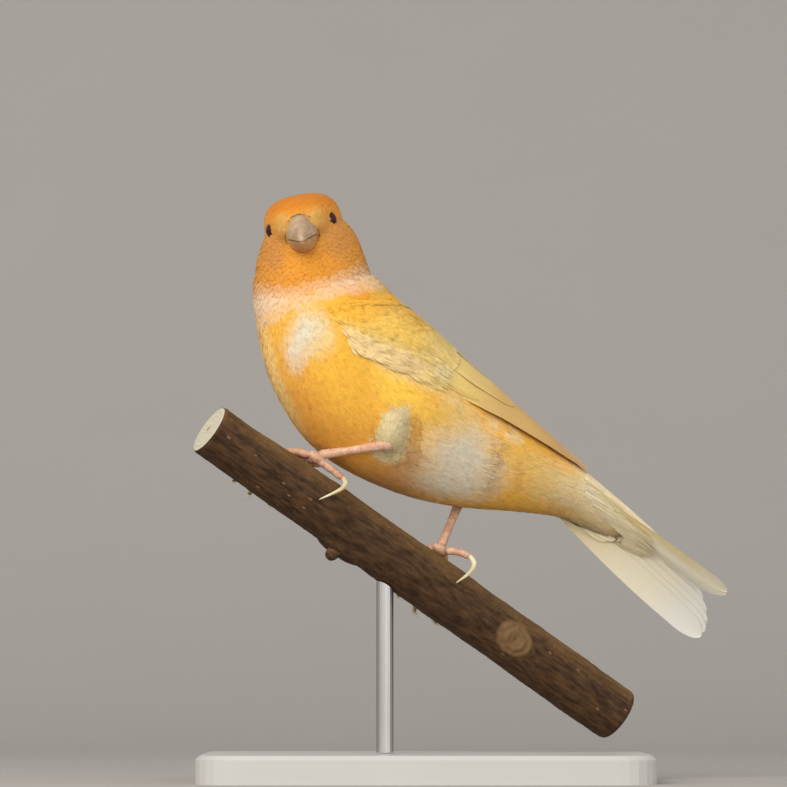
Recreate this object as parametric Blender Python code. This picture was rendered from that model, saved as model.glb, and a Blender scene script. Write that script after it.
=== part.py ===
"""A perched canary, life size, gripping a cut length of branch on a plain display stand.

Lengths are in millimetres until a mesh is made. +Z is up, the bird faces -X with its head turned
towards -Y, and the origin is the middle of the stand's underside.
"""

import math
from dataclasses import dataclass

import bmesh
import bpy
import numpy as np
from mathutils import Vector
from mathutils.bvhtree import BVHTree

MM = 0.001
GAP = 0.3

# Driving sizes of the bird
HEADING_DEG = 20.0
EYE_RADIUS = 2.0
BILL_LENGTH = 9.6
BILL_HALF_WIDTH = 3.5
TAIL_LENGTH = 51.0
TAIL_FEATHERS = 12
TARSUS_RADIUS = 1.0
TOE_RADIUS = 0.85
VANE_THICKNESS = 0.6
FORM_TRIANGLES = 2600

# Driving sizes of the perch and its stand
PERCH_RADIUS = 6.75
PERCH_LENGTH = 122.0
BASE_LENGTH = 104.0
BASE_DEPTH = 66.0
BASE_THICKNESS = 6.5
ROD_RADIUS = 2.0
ROD_ALONG = -12.0


@dataclass(frozen=True)
class Section:
    """One cross section of the neck and body, from the head end to the tail end."""

    x: float
    y: float
    z: float
    side: float
    back: float
    belly: float
    lean_deg: float


# The middle of each section, its half width, its reach to the back and to the belly, and how far
# its back leans to +Y, from the throat down to the tail.
BODY = (
    Section(-28.5, -6.4, 133.4, 5.6, 6.4, 6.0, 12.0),
    Section(-28.2, -4.6, 128.8, 8.0, 9.9, 8.8, 14.0),
    Section(-27.3, -5.6, 123.8, 11.2, 12.4, 11.4, 18.0),
    Section(-26.6, -6.0, 118.2, 12.8, 13.8, 13.2, 22.0),
    Section(-25.6, -5.4, 112.0, 14.2, 15.6, 15.2, 26.0),
    Section(-21.4, -3.8, 103.4, 15.8, 18.0, 19.6, 26.0),
    Section(-16.7, -2.2, 97.0, 16.4, 17.1, 21.7, 23.0),
    Section(-11.2, -0.3, 91.0, 16.6, 17.2, 21.5, 20.0),
    Section(-1.2, 3.4, 83.6, 15.8, 16.0, 18.4, 16.0),
    Section(9.9, 7.3, 77.8, 13.0, 14.1, 15.0, 14.0),
    Section(24.0, 12.2, 72.0, 9.6, 9.4, 9.8, 15.0),
    Section(33.6, 15.4, 67.8, 7.4, 6.2, 6.4, 20.0),
    Section(40.8, 17.2, 63.3, 6.0, 4.2, 4.4, 28.0),
    Section(47.6, 18.4, 58.2, 4.0, 1.8, 2.2, 34.0),
)
# Where the folded wing's two edges lie round the body, in degrees up from its side, by distance
# from the bend of the wing
WING_STEPS = (-5.0, 0.0, 5.0, 11.0, 18.0, 27.0, 38.0, 53.0, 62.0, 72.0)
WING_LOW_DEG = (-42.0, -35.0, -26.0, -15.0, -3.0, 6.0, 13.0, 23.0, 29.0, 33.0)
FAR_WING_LOW_DEG = (-16.0, -16.0, -15.0, -11.0, -3.0, 6.0, 13.0, 23.0, 29.0, 33.0)
WING_HIGH_DEG = (-10.0, 22.0, 38.0, 52.0, 63.0, 71.0, 78.0, 82.0, 80.0, 68.0)
BEND_SECTION = 4.85


def vector(*values):
    """A numpy vector."""
    return np.array(values, float)


def unit(v):
    """v at length 1."""
    return v / np.linalg.norm(v)


def smooth_rows(rows, count):
    """count rows on a Catmull-Rom curve through the given rows, evenly spaced by row number."""
    rows = np.asarray(rows, float)
    ends = np.vstack([2 * rows[0] - rows[1], rows, 2 * rows[-1] - rows[-2]])
    at = np.linspace(0, len(rows) - 1, count)
    first = np.minimum(at.astype(int), len(rows) - 2)
    q = (at - first)[:, None]
    a, b, c, d = (ends[first + i] for i in range(4))
    slope, bend, twist = c - a, 2 * a - 5 * b + 4 * c - d, 3 * b - a - 3 * c + d
    return 0.5 * (2 * b + slope * q + bend * q**2 + twist * q**3)


def new_object(name, points, faces):
    """A mesh object from points in millimetres."""
    mesh = bpy.data.meshes.new(name)
    mesh.from_pydata([tuple(float(c) * MM for c in p) for p in points], [], [tuple(f) for f in faces])
    mesh.validate()
    made = bpy.data.objects.new(name, mesh)
    bpy.context.scene.collection.objects.link(made)
    return made


def bake(obj):
    """Applies every modifier of obj."""
    bpy.context.view_layer.update()
    graph = bpy.context.evaluated_depsgraph_get()
    mesh = bpy.data.meshes.new_from_object(obj.evaluated_get(graph))
    obj.modifiers.clear()
    obj.data = mesh
    return obj


def remove(*objects):
    """Takes helpers out of the file."""
    for obj in objects:
        bpy.data.objects.remove(obj)


def keep_largest(obj):
    """Keeps only the closed surface with the most volume, and splits its faces into triangles."""
    shape = bmesh.new()
    shape.from_mesh(obj.data)
    bmesh.ops.triangulate(shape, faces=shape.faces[:])
    rest, groups = set(shape.verts), []
    while rest:
        group, edge = set(), [next(iter(rest))]
        while edge:
            vert = edge.pop()
            if vert in group:
                continue
            group.add(vert)
            edge.extend(e.other_vert(vert) for e in vert.link_edges)
        rest -= group
        groups.append(group)

    def volume(group):
        faces = {f for v in group for f in v.link_faces}
        return sum(f.verts[0].co.dot(f.verts[1].co.cross(f.verts[2].co)) for f in faces)

    best = max(groups, key=volume)
    bmesh.ops.delete(shape, geom=[v for v in shape.verts if v not in best], context="VERTS")
    shape.to_mesh(obj.data)
    shape.free()
    return obj


def combine(obj, others, operation, solver="MANIFOLD"):
    """Joins others to obj, or cuts them from it, in one Boolean, and then removes them."""
    tools = bpy.data.collections.new("tools")
    bpy.context.scene.collection.children.link(tools)
    for other in others:
        tools.objects.link(other)
    cut = obj.modifiers.new(operation.lower(), "BOOLEAN")
    cut.operation = operation
    cut.operand_type = "COLLECTION"
    cut.collection = tools
    cut.solver = solver
    bake(obj)
    remove(*others)
    bpy.data.collections.remove(tools)
    return keep_largest(obj)


def swollen(obj, by, name="swollen"):
    """A copy of obj with its surface moved out by this many millimetres."""
    mesh = obj.data.copy()
    normals = np.empty(len(mesh.vertices) * 3)
    places = np.empty(len(mesh.vertices) * 3)
    mesh.vertices.foreach_get("normal", normals)
    mesh.vertices.foreach_get("co", places)
    mesh.vertices.foreach_set("co", places + normals * by * MM)
    made = bpy.data.objects.new(name, mesh)
    bpy.context.scene.collection.objects.link(made)
    return made


def trimmed(obj, *neighbours, gap=GAP):
    """Cuts obj back to the gap from each neighbour."""
    for neighbour in neighbours:
        combine(obj, [swollen(neighbour, gap)], "DIFFERENCE")
    return obj


def tube(name, centres, across, along, reach_across, reach_up, reach_down, sides, squareness=2.0):
    """A closed tube through centres. Its section runs reach_across to each side on the across
    directions, and reach_up and reach_down on the along directions. A higher squareness gives
    flatter sides."""
    centres = np.asarray(centres, float)
    turns = np.linspace(0, 2 * math.pi, sides, endpoint=False)
    power = 2.0 / squareness
    flat = np.sign(np.cos(turns)) * np.abs(np.cos(turns)) ** power
    tall = np.sign(np.sin(turns)) * np.abs(np.sin(turns)) ** power
    points = []
    for i, centre in enumerate(centres):
        for c, s in zip(flat, tall):
            reach = reach_up[i] if s > 0 else reach_down[i]
            points.append(centre + across[i] * c * reach_across[i] + along[i] * s * reach)
    faces = []
    for i in range(len(centres) - 1):
        for j in range(sides):
            k = (j + 1) % sides
            a, b = i * sides + j, i * sides + k
            faces += [(a, b, b + sides), (a, b + sides, a + sides)]
    last = (len(centres) - 1) * sides
    faces.append(tuple(range(sides))[::-1])
    faces.append(tuple(range(last, last + sides)))
    return outward(new_object(name, points, faces))


def outward(obj):
    """Turns every face of obj outwards."""
    shape = bmesh.new()
    shape.from_mesh(obj.data)
    bmesh.ops.recalc_face_normals(shape, faces=shape.faces[:])
    bmesh.ops.triangulate(shape, faces=shape.faces[:])
    shape.to_mesh(obj.data)
    shape.free()
    return obj


def side_vectors(centres, hint):
    """For each centre the tangent, and two directions square to it, the second nearest to hint."""
    tangents = np.gradient(np.asarray(centres, float), axis=0)
    tangents /= np.linalg.norm(tangents, axis=1)[:, None]
    ups = hint - (tangents @ hint)[:, None] * tangents
    ups /= np.linalg.norm(ups, axis=1)[:, None]
    return tangents, np.cross(tangents, ups), ups


def rod(name, points, radii, steps, sides, hint=(0.3, -0.2, 1.0)):
    """A round tube on a smooth curve through points, with radii that follow it."""
    rows = smooth_rows(np.column_stack([points, radii]), steps)
    _, across, up = side_vectors(rows[:, :3], vector(*hint))
    size = rows[:, 3]
    return tube(name, rows[:, :3], across, up, size, size, size, sides)


def ball(name, centre, radii, axes=None, rings=10, sides=16):
    """An ellipsoid with its half sizes on the given axes."""
    axes = np.eye(3) if axes is None else np.asarray(axes, float)
    shape = bmesh.new()
    bmesh.ops.create_uvsphere(shape, u_segments=sides, v_segments=rings, radius=1.0)
    points = [centre + (np.array(v.co) * radii) @ axes for v in shape.verts]
    faces = [[v.index for v in f.verts] for f in shape.faces]
    shape.free()
    return outward(new_object(name, points, faces))


def ring(name, centre, axis, radius, thickness, sides=16, round_sides=6):
    """A torus about axis."""
    first = unit(np.cross(axis, vector(0.0, 0.0, 1.0)))
    second = np.cross(axis, first)
    points, faces = [], []
    for i in range(sides):
        turn = 2 * math.pi * i / sides
        spoke = first * math.cos(turn) + second * math.sin(turn)
        here, there = i * round_sides, (i + 1) % sides * round_sides
        for j in range(round_sides):
            small = 2 * math.pi * j / round_sides
            out, along = radius + thickness * math.cos(small), thickness * math.sin(small)
            points.append(centre + spoke * out + axis * along)
            k = (j + 1) % round_sides
            faces += [(here + j, here + k, there + k), (here + j, there + k, there + j)]
    return outward(new_object(name, points, faces))


def slab(name, tops, bottoms):
    """A thin closed piece between two like grids of points, split into triangles alike on both."""
    tops, bottoms = np.asarray(tops, float), np.asarray(bottoms, float)
    rows, columns = tops.shape[:2]
    points = np.vstack([tops.reshape(-1, 3), bottoms.reshape(-1, 3)])
    under, faces = rows * columns, []
    for i in range(rows - 1):
        for j in range(columns - 1):
            a, b = i * columns + j, i * columns + j + 1
            c, d = a + columns, b + columns
            faces += [(a, b, d), (a, d, c)]
            faces += [(under + a, under + d, under + b), (under + a, under + c, under + d)]
    rim = [j for j in range(columns)]
    rim += [i * columns + columns - 1 for i in range(1, rows)]
    rim += [(rows - 1) * columns + j for j in range(columns - 2, -1, -1)]
    rim += [i * columns for i in range(rows - 2, 0, -1)]
    for a, b in zip(rim, rim[1:] + rim[:1]):
        faces += [(a, under + a, under + b), (a, under + b, b)]
    return outward(new_object(name, points, faces))


# How wide a feather is along its length, as shares of its length and of its widest half width
COVERT_STEPS, COVERT_WIDTHS = (0.0, 0.5, 0.86, 1.0), (0.8, 1.0, 0.85, 0.4)
QUILL_STEPS, QUILL_WIDTHS = (0.0, 0.32, 0.64, 0.9, 1.0), (0.6, 0.85, 1.0, 0.85, 0.35)


class Bird:
    """The smooth line of the neck and body, and places round it."""

    def __init__(self):
        rows = [(s.x, s.y, s.z, s.side, s.back, s.belly, s.lean_deg) for s in BODY]
        self.rows = smooth_rows(rows, 10 * (len(BODY) - 1) + 1)
        self.centres = self.rows[:, :3]
        turn = math.radians(HEADING_DEG)
        left = vector(math.sin(turn), -math.cos(turn), 0.0)
        tangents, _, level = side_vectors(self.centres, left)
        upright = np.cross(-tangents, level)
        lean = np.radians(self.rows[:, 6])[:, None]
        self.tangents = tangents
        self.left = np.cos(lean) * level + np.sin(lean) * upright
        self.back = np.cos(lean) * upright - np.sin(lean) * level
        steps = np.linalg.norm(np.diff(self.centres, axis=0), axis=1)
        self.run = np.concatenate([[0.0], np.cumsum(steps)])
        self.form = body_form(self)
        points = [v.co / MM for v in self.form.data.vertices]
        self.skin = BVHTree.FromPolygons(points, [p.vertices for p in self.form.data.polygons])

    def at(self, index, values):
        """values read at a row number between two rows."""
        low = int(np.clip(math.floor(index), 0, len(values) - 2))
        return values[low] + (values[low + 1] - values[low]) * (index - low)

    def place(self, index, angle_deg, lift, hand=1.0):
        """A point lift above the body at a row number, angle up from the side, left for hand 1."""
        angle = math.radians(angle_deg)
        side, back, belly = self.at(index, self.rows[:, 3:6])
        reach = back if angle > 0 else belly
        across = math.cos(angle) * side * hand * self.at(index, self.left)
        out = unit(across + math.sin(angle) * reach * self.at(index, self.back))
        hit = self.skin.ray_cast(Vector(self.at(index, self.centres) + 40.0 * out), Vector(-out))[0]
        return np.array(hit) + lift * out

    def row_at(self, distance):
        """The row number that far along the body from the bend of the wing."""
        start = np.interp(10 * BEND_SECTION, range(len(self.run)), self.run)
        return float(np.interp(start + distance, self.run, range(len(self.run))))

    def radius(self, index):
        """The body's middling radius at a row number."""
        side, back, _ = self.at(index, self.rows[:, 3:6])
        return 0.5 * (side + back)


def head_axes():
    """Forward, left and up for the head, which faces the viewer and is tipped to one side."""
    forward = unit(vector(-0.03, -1.0, -0.06))
    tilt = math.radians(11.0)
    left = unit(vector(math.cos(tilt), 0.0, math.sin(tilt)))
    left = unit(left - (left @ forward) * forward)
    return forward, left, np.cross(forward, left)


HEAD_CENTRE = vector(-28.5, -8.7, 128.1)
# Along the head from the nape to the bill: distance forward, half width, height up and down, and
# how far the section lies to the left, as the crown's feathers are drawn with the turn of the neck
HEAD_SECTIONS = (
    (-10.0, 2.4, 2.0, 3.0, 1.2),
    (-8.6, 5.8, 4.9, 6.5, 1.2),
    (-5.2, 8.3, 7.2, 9.0, 0.8),
    (-1.0, 9.1, 7.4, 9.6, 0.3),
    (2.6, 8.2, 6.8, 9.2, 0.0),
    (5.6, 6.6, 5.6, 7.8, 0.0),
    (8.0, 4.9, 3.6, 6.2, 0.0),
    (9.4, 3.2, 1.8, 4.8, 0.0),
)
HEAD_SQUARENESS = 2.6
EYE_FORWARD, EYE_OUT, EYE_UP = 2.9, 5.95, 0.0
BILL_FORWARD, BILL_DOWN = 7.6, 2.7


def in_head(forward, left, up):
    """A point in the head's own axes."""
    f, l, u = head_axes()
    return HEAD_CENTRE + forward * f + left * l + up * u


def body_form(bird):
    """The head, neck and body as one smooth closed form."""
    reach = bird.rows
    trunk = tube("form", bird.centres, bird.left, bird.back, reach[:, 3], reach[:, 4], reach[:, 5], 40)
    forward, left, up = head_axes()
    rows = smooth_rows(HEAD_SECTIONS, 22)
    centres = [HEAD_CENTRE + r[0] * forward + r[4] * left for r in rows]
    count = len(rows)
    sizes = rows[:, 1], rows[:, 2], rows[:, 3]
    skull = tube("skull", centres, [left] * count, [up] * count, *sizes, 32, HEAD_SQUARENESS)
    form = combine(trunk, [skull], "UNION")
    remesh = form.modifiers.new("remesh", "REMESH")
    remesh.mode = "VOXEL"
    remesh.voxel_size = 0.8 * MM
    smooth = form.modifiers.new("smooth", "SMOOTH")
    smooth.factor = 0.5
    smooth.iterations = 10
    bake(form)
    thin = form.modifiers.new("thin", "DECIMATE")
    thin.ratio = min(1.0, FORM_TRIANGLES / (2.0 * len(form.data.polygons)))
    bake(form)
    return keep_largest(form)


def sliced(obj, name, planes):
    """A copy of obj between planes, each a point and the direction that is kept, with flat caps."""
    shape = bmesh.new()
    shape.from_mesh(obj.data)
    for point, keep in planes:
        parts = shape.verts[:] + shape.edges[:] + shape.faces[:]
        bmesh.ops.bisect_plane(shape, geom=parts, plane_co=point * MM, plane_no=keep, clear_inner=True)
        rim = [e for e in shape.edges if e.is_boundary]
        bmesh.ops.holes_fill(shape, edges=rim, sides=0)
    bmesh.ops.triangulate(shape, faces=shape.faces[:])
    mesh = bpy.data.meshes.new(name)
    shape.to_mesh(mesh)
    shape.free()
    made = bpy.data.objects.new(name, mesh)
    bpy.context.scene.collection.objects.link(made)
    return outward(made)


# The thin cuts that part the form: a point on each, and the way towards the head
CHIN_CUT = (vector(-27.0, -6.5, 120.2), unit(vector(-0.06, -0.12, 1.0)))
COLLAR_CUT = (vector(-25.2, -5.5, 110.8), unit(vector(-0.24, -0.05, 1.0)))
RUMP_CUT = (vector(31.4, 14.9, 69.0), unit(vector(-0.80, -0.27, 0.50)))


def body_pieces(form):
    """The head, neck, torso and tail root, parted by three thin cuts."""
    half = GAP / 2
    ahead = [(point + half * way, way) for point, way in (CHIN_CUT, COLLAR_CUT, RUMP_CUT)]
    behind = [(point - half * way, -way) for point, way in (CHIN_CUT, COLLAR_CUT, RUMP_CUT)]
    head = sliced(form, "head", [ahead[0]])
    neck = sliced(form, "neck", [behind[0], ahead[1]])
    torso = sliced(form, "torso", [behind[1], ahead[2]])
    return head, neck, torso, sliced(form, "tail", [behind[2]])


def eyes(head):
    """Both eyes, their sockets cut in the head, and a lid ring round each."""
    made = []
    forward, left, _ = head_axes()
    for hand, name in ((1.0, "eye_left"), (-1.0, "eye_right")):
        centre = in_head(EYE_FORWARD, hand * EYE_OUT, EYE_UP)
        look = unit(hand * left + 0.3 * forward)
        lid = ring("lid", centre + look * 1.2, look, EYE_RADIUS + 0.15, 0.4, 14, 5)
        combine(head, [lid], "UNION")
        combine(head, [ball("socket", centre, [EYE_RADIUS + GAP] * 3, rings=9, sides=14)], "DIFFERENCE")
        made.append(ball(name, centre, [EYE_RADIUS] * 3, rings=8, sides=14))
    return made


def bill(form):
    """The upper and lower bill, with the mouth's line between them and two nostrils."""
    forward, left, up = head_axes()
    pitch = 0.10
    axis = unit(forward - pitch * up)
    rise = unit(up - (up @ axis) * axis)
    root = in_head(BILL_FORWARD, 0.0, -BILL_DOWN)
    share = np.array([-0.28, -0.1, 0.1, 0.32, 0.55, 0.76, 0.92, 1.0])
    along = np.clip(share, 0, 1)
    width = BILL_HALF_WIDTH * (1 - along**1.55) ** 0.8 + 0.22
    culmen = 4.7 * (1 - along**1.7) ** 0.75 + 0.35
    count = len(share)
    lefts, rises, flat = [left] * count, [rise] * count, [0.12] * count
    middle = [root + axis * s * BILL_LENGTH - rise * 0.7 * max(s, 0) ** 2 for s in share]
    top = tube("bill_upper", middle, lefts, rises, width, culmen, flat, 20, 1.9)
    share = np.array([-0.28, -0.1, 0.12, 0.36, 0.62, 0.84, 0.95])
    along = np.clip(share / 0.95, 0, 1)
    width = BILL_HALF_WIDTH * 0.94 * (1 - along**1.7) ** 0.8 + 0.2
    depth = 3.3 * (1 - along**1.8) ** 0.8 + 0.3
    count = len(share)
    drop = [root + axis * s * BILL_LENGTH - rise * (0.58 + 0.7 * max(s, 0) ** 2) for s in share]
    low = tube("bill_lower", drop, [left] * count, [rise] * count, width, [0.12] * count, depth, 20, 1.9)
    pits, axes = [], [axis, left, rise]
    for hand in (1.0, -1.0):
        nostril = root + axis * 1.5 + rise * 2.7 + left * 2.35 * hand
        pits.append(ball("pit", nostril, [0.75, 0.45, 0.45], axes, 8, 10))
    combine(top, pits, "DIFFERENCE")
    trimmed(top, form)
    trimmed(low, form, top)
    return [top, low]


def vane(spot, start, end, half_width, top, under, quill=False):
    """A feather laid on a surface from start to end, between two heights above it.

    spot(a, b, lift) gives a point and its millimetres per unit of b. top and under are each the
    height at the root and at the tip.
    """
    steps, widths = (QUILL_STEPS, QUILL_WIDTHS) if quill else (COVERT_STEPS, COVERT_WIDTHS)
    tops, bottoms = [], []
    for step, share in zip(steps, widths):
        a = start[0] + (end[0] - start[0]) * step
        b = start[1] + (end[1] - start[1]) * step
        high = top[0] + (top[1] - top[0]) * step
        low = under[0] + (under[1] - under[0]) * step
        reach = half_width * share / spot(a, b, high)[1]
        tops.append([spot(a, b + side * reach, high)[0] for side in (-1.0, 1.0)])
        bottoms.append([spot(a, b + side * reach, low)[0] for side in (-1.0, 1.0)])
    return slab("vane", tops, bottoms)


WING_CLEAR = 0.75
# The feathers of each tier: how many, where the first and the last start and end (distance along
# the wing, share of its height from the lower edge), half width, and the height of their tops
WING_TIERS = (
    ("primary", 6, (24.0, 0.44), (22.0, 0.12), (53.0, 0.66), (72.0, 0.16), 2.6, 2.3, 1.7),
    ("secondary", 5, (19.0, 0.80), (19.0, 0.36), (46.0, 0.84), (49.5, 0.42), 3.0, 2.6, 2.25),
    ("tertial", 3, (13.0, 0.90), (13.0, 0.80), (32.0, 0.90), (42.0, 0.80), 3.2, 3.1, 2.8),
    ("greater", 7, (8.0, 0.82), (8.0, 0.16), (24.0, 0.86), (26.5, 0.12), 2.6, 3.1, 2.6),
    ("median", 6, (0.5, 0.82), (0.5, 0.20), (14.5, 0.86), (15.5, 0.14), 2.9, 3.4, 2.9),
)
WING_UNDER = {"secondary": 1.5, "tertial": 1.5, "greater": 1.25, "median": 1.25}


def wing(bird, hand, name):
    """A folded wing: a core that lies close to the body, and its feathers in tiers over it."""

    lower_edge = WING_LOW_DEG if hand > 0 else FAR_WING_LOW_DEG

    def spot(distance, share, lift):
        low = np.interp(distance, WING_STEPS, lower_edge)
        high = np.interp(distance, WING_STEPS, WING_HIGH_DEG)
        index = bird.row_at(distance)
        point = bird.place(index, low + (high - low) * share, lift, hand)
        return point, math.radians(high - low) * (bird.radius(index) + lift)

    tops, bottoms = [], []
    for q in np.linspace(0.0, 1.0, 12):
        spread = 0.5 * min(1.0, 0.55 + 3.0 * q) * (1.0 - 0.25 * q**4)
        thick = 0.9 + 1.3 * math.sin(math.pi * min(1.0, 0.1 + 1.15 * q)) ** 0.7
        row = []
        for across in np.linspace(-1.0, 1.0, 6):
            share = 0.5 + spread * across
            row.append((share, WING_CLEAR + thick * (1 - 0.5 * across**2)))
        distance = -5.0 + 53.0 * q
        tops.append([spot(distance, share, lift)[0] for share, lift in row])
        bottoms.append([spot(distance, share, WING_CLEAR)[0] for share, _ in row])
    core = slab(name, tops, bottoms)
    vanes = []
    for tier, count, first, last, first_end, last_end, half_width, high, low in WING_TIERS:
        for i in range(count):
            q = i / (count - 1)
            start = [a + (b - a) * q for a, b in zip(first, last)]
            end = [a + (b - a) * q for a, b in zip(first_end, last_end)]
            if tier in ("greater", "median"):
                end[0] += 3.0 * math.sin(math.pi * q)
            height = high + (low - high) * q
            quill = tier in ("primary", "secondary")
            slope = (0.0, -0.55) if tier == "primary" else (-0.25, 0.0)
            tops = [height + rise for rise in slope]
            under = WING_UNDER.get(tier)
            unders = [under or top - VANE_THICKNESS for top in tops]
            vanes.append(vane(spot, start, end, half_width, tops, unders, quill))
    return trimmed(combine(core, vanes, "UNION"), bird.form)


TAIL_ROOT = vector(31.8, 15.7, 72.0)
TAIL_WAY = vector(0.772, 0.08, -0.633)
TAIL_LEFT = vector(0.46, -0.74, 0.47)
TAIL_ROOT_HALF, TAIL_TIP_HALF, TAIL_DROOP = 3.2, 8.6, 0.22
TAIL_FORK, TAIL_NEAR_SHORT = 0.21, 3.6


def tail(root):
    """The tail's feathers, longer towards both sides, and its coverts, joined to its root."""
    way = unit(TAIL_WAY)
    left = unit(TAIL_LEFT - (TAIL_LEFT @ way) * way)
    up = np.cross(left, way)

    def spot(distance, out, lift):
        return TAIL_ROOT + way * distance + left * out + up * (lift - TAIL_DROOP * abs(out)), 1.0

    vanes = []
    for i in range(TAIL_FEATHERS):
        place = 2 * i / (TAIL_FEATHERS - 1) - 1
        length = TAIL_LENGTH * (1.0 - TAIL_FORK * (1 - abs(place)) ** 2.2)
        length -= TAIL_NEAR_SHORT * max(0.0, place)
        height = 0.9 - 1.7 * abs(place)
        ends = (8.0, TAIL_ROOT_HALF * place), (length, TAIL_TIP_HALF * place)
        under = height - VANE_THICKNESS
        vanes.append(vane(spot, *ends, 3.2, (height, height), (under, under), True))
    for i in range(5):
        place = (i - 2) / 2
        ends = (8.0, 3.5 * place), (23.0 - 4.0 * abs(place), 4.6 * place)
        vanes.append(vane(spot, *ends, 2.5, (-0.8, -0.6), (-4.2, -1.7)))
    for i in range(3):
        place = i - 1
        ends = (6.0, 3.0 * place), (17.0 - 3.0 * abs(place), 3.4 * place)
        vanes.append(vane(spot, *ends, 2.6, (2.2, 1.1), (0.3, 0.3)))
    return combine(root, vanes, "UNION")


# The perch's middle line passes this point, in this direction, down towards the tail
PERCH_POINT = vector(0.0, 0.0, 46.6)
PERCH_WAY = unit(vector(0.785, 0.33, -0.545))
PERCH_NEAR = unit(np.cross(PERCH_WAY, vector(0.0, 0.0, 1.0)))
PERCH_TOP = np.cross(PERCH_NEAR, PERCH_WAY)
PERCH_START = -63.4
# The broken twig: distance along the perch and height off the bark
TWIG = ((-22.0, -3.0), (-22.8, 0.6), (-23.6, 2.9))


def on_perch(distance, turn_deg, lift):
    """A point lift above the bark, turned from the top towards the near side."""
    turn = math.radians(turn_deg)
    out = math.cos(turn) * PERCH_TOP + math.sin(turn) * PERCH_NEAR
    return PERCH_POINT + PERCH_WAY * distance + out * (PERCH_RADIUS + lift)


def perch():
    """A sawn length of branch, slimmer at the upper end, with a broken twig and a knot."""
    count = 20
    centres, sizes = [], []
    for distance in PERCH_START + np.linspace(0.0, PERCH_LENGTH, count):
        slim = 0.45 * min(1.0, max(0.0, (-28.0 - distance) / 30.0))
        centres.append(PERCH_POINT + PERCH_WAY * distance - PERCH_TOP * slim)
        sizes.append(PERCH_RADIUS - slim - 0.06 + 0.06 * math.sin(distance / 6.1 + 1.0))
    branch = tube("perch", centres, [PERCH_NEAR] * count, [PERCH_TOP] * count, sizes, sizes, sizes, 20)
    axes = [PERCH_WAY, PERCH_NEAR, PERCH_TOP]
    twig = rod("twig", [on_perch(d, 172.0, lift) for d, lift in TWIG], [2.6, 1.7, 1.3], 5, 8)
    collar = ball("collar", on_perch(-22.0, 175.0, -1.5), [6.0, 3.2, 2.6], axes, 7, 12)
    axes = [PERCH_WAY, PERCH_TOP, PERCH_NEAR]
    knot = ball("knot", on_perch(24.2, 99.0, -1.7), [5.0, 4.2, 2.5], axes, 8, 14)
    bud = ball("bud", on_perch(24.6, 102.0, 0.1), [2.0, 1.7, 1.5], axes, 6, 9)
    return combine(branch, [twig, collar, knot, bud], "UNION")


@dataclass(frozen=True)
class Leg:
    """One leg's joints, and where its foot stands along the perch and round it."""

    name: str
    hip: tuple
    knee: tuple
    heel: tuple
    foot: float
    foot_turn: float
    front: tuple
    hind: tuple


# Each front toe is given by where along the foot it starts, how far along the perch it ends and
# how far round its claw reaches. The hind toe passes points along the perch, round it and off it.
LEGS = (
    Leg(
        "left", (-6.4, -7.6, 89.4), (-8.0, -13.6, 83.2), (-8.9, -16.2, 77.0), -38.3, 8.0,
        ((-1.9, -11.0, -152.0), (0.0, -6.8, -166.0), (1.7, -1.5, -150.0)),
        ((0.8, 12, 1.5), (4.0, 16, 1.5), (7.6, 22, 1.4), (8.0, 40, 1.5), (7.0, 62, 1.4), (3.9, 97, 0.6)),
    ),
    Leg(
        "right", (4.0, 13.0, 76.0), (6.6, 13.4, 70.0), (8.1, 12.2, 65.0), -0.3, -10.0,
        ((-1.6, -1.5, -150.0), (0.3, 3.6, -172.0), (1.9, 8.5, -155.0)),
        ((0.8, 4, 1.7), (3.2, 12, 3.0), (6.0, 15, 3.6), (7.3, 24, 3.0), (6.9, 42, 1.5), (4.7, 76, 0.6)),
    ),
)
CLAW_START = -126.0


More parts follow.
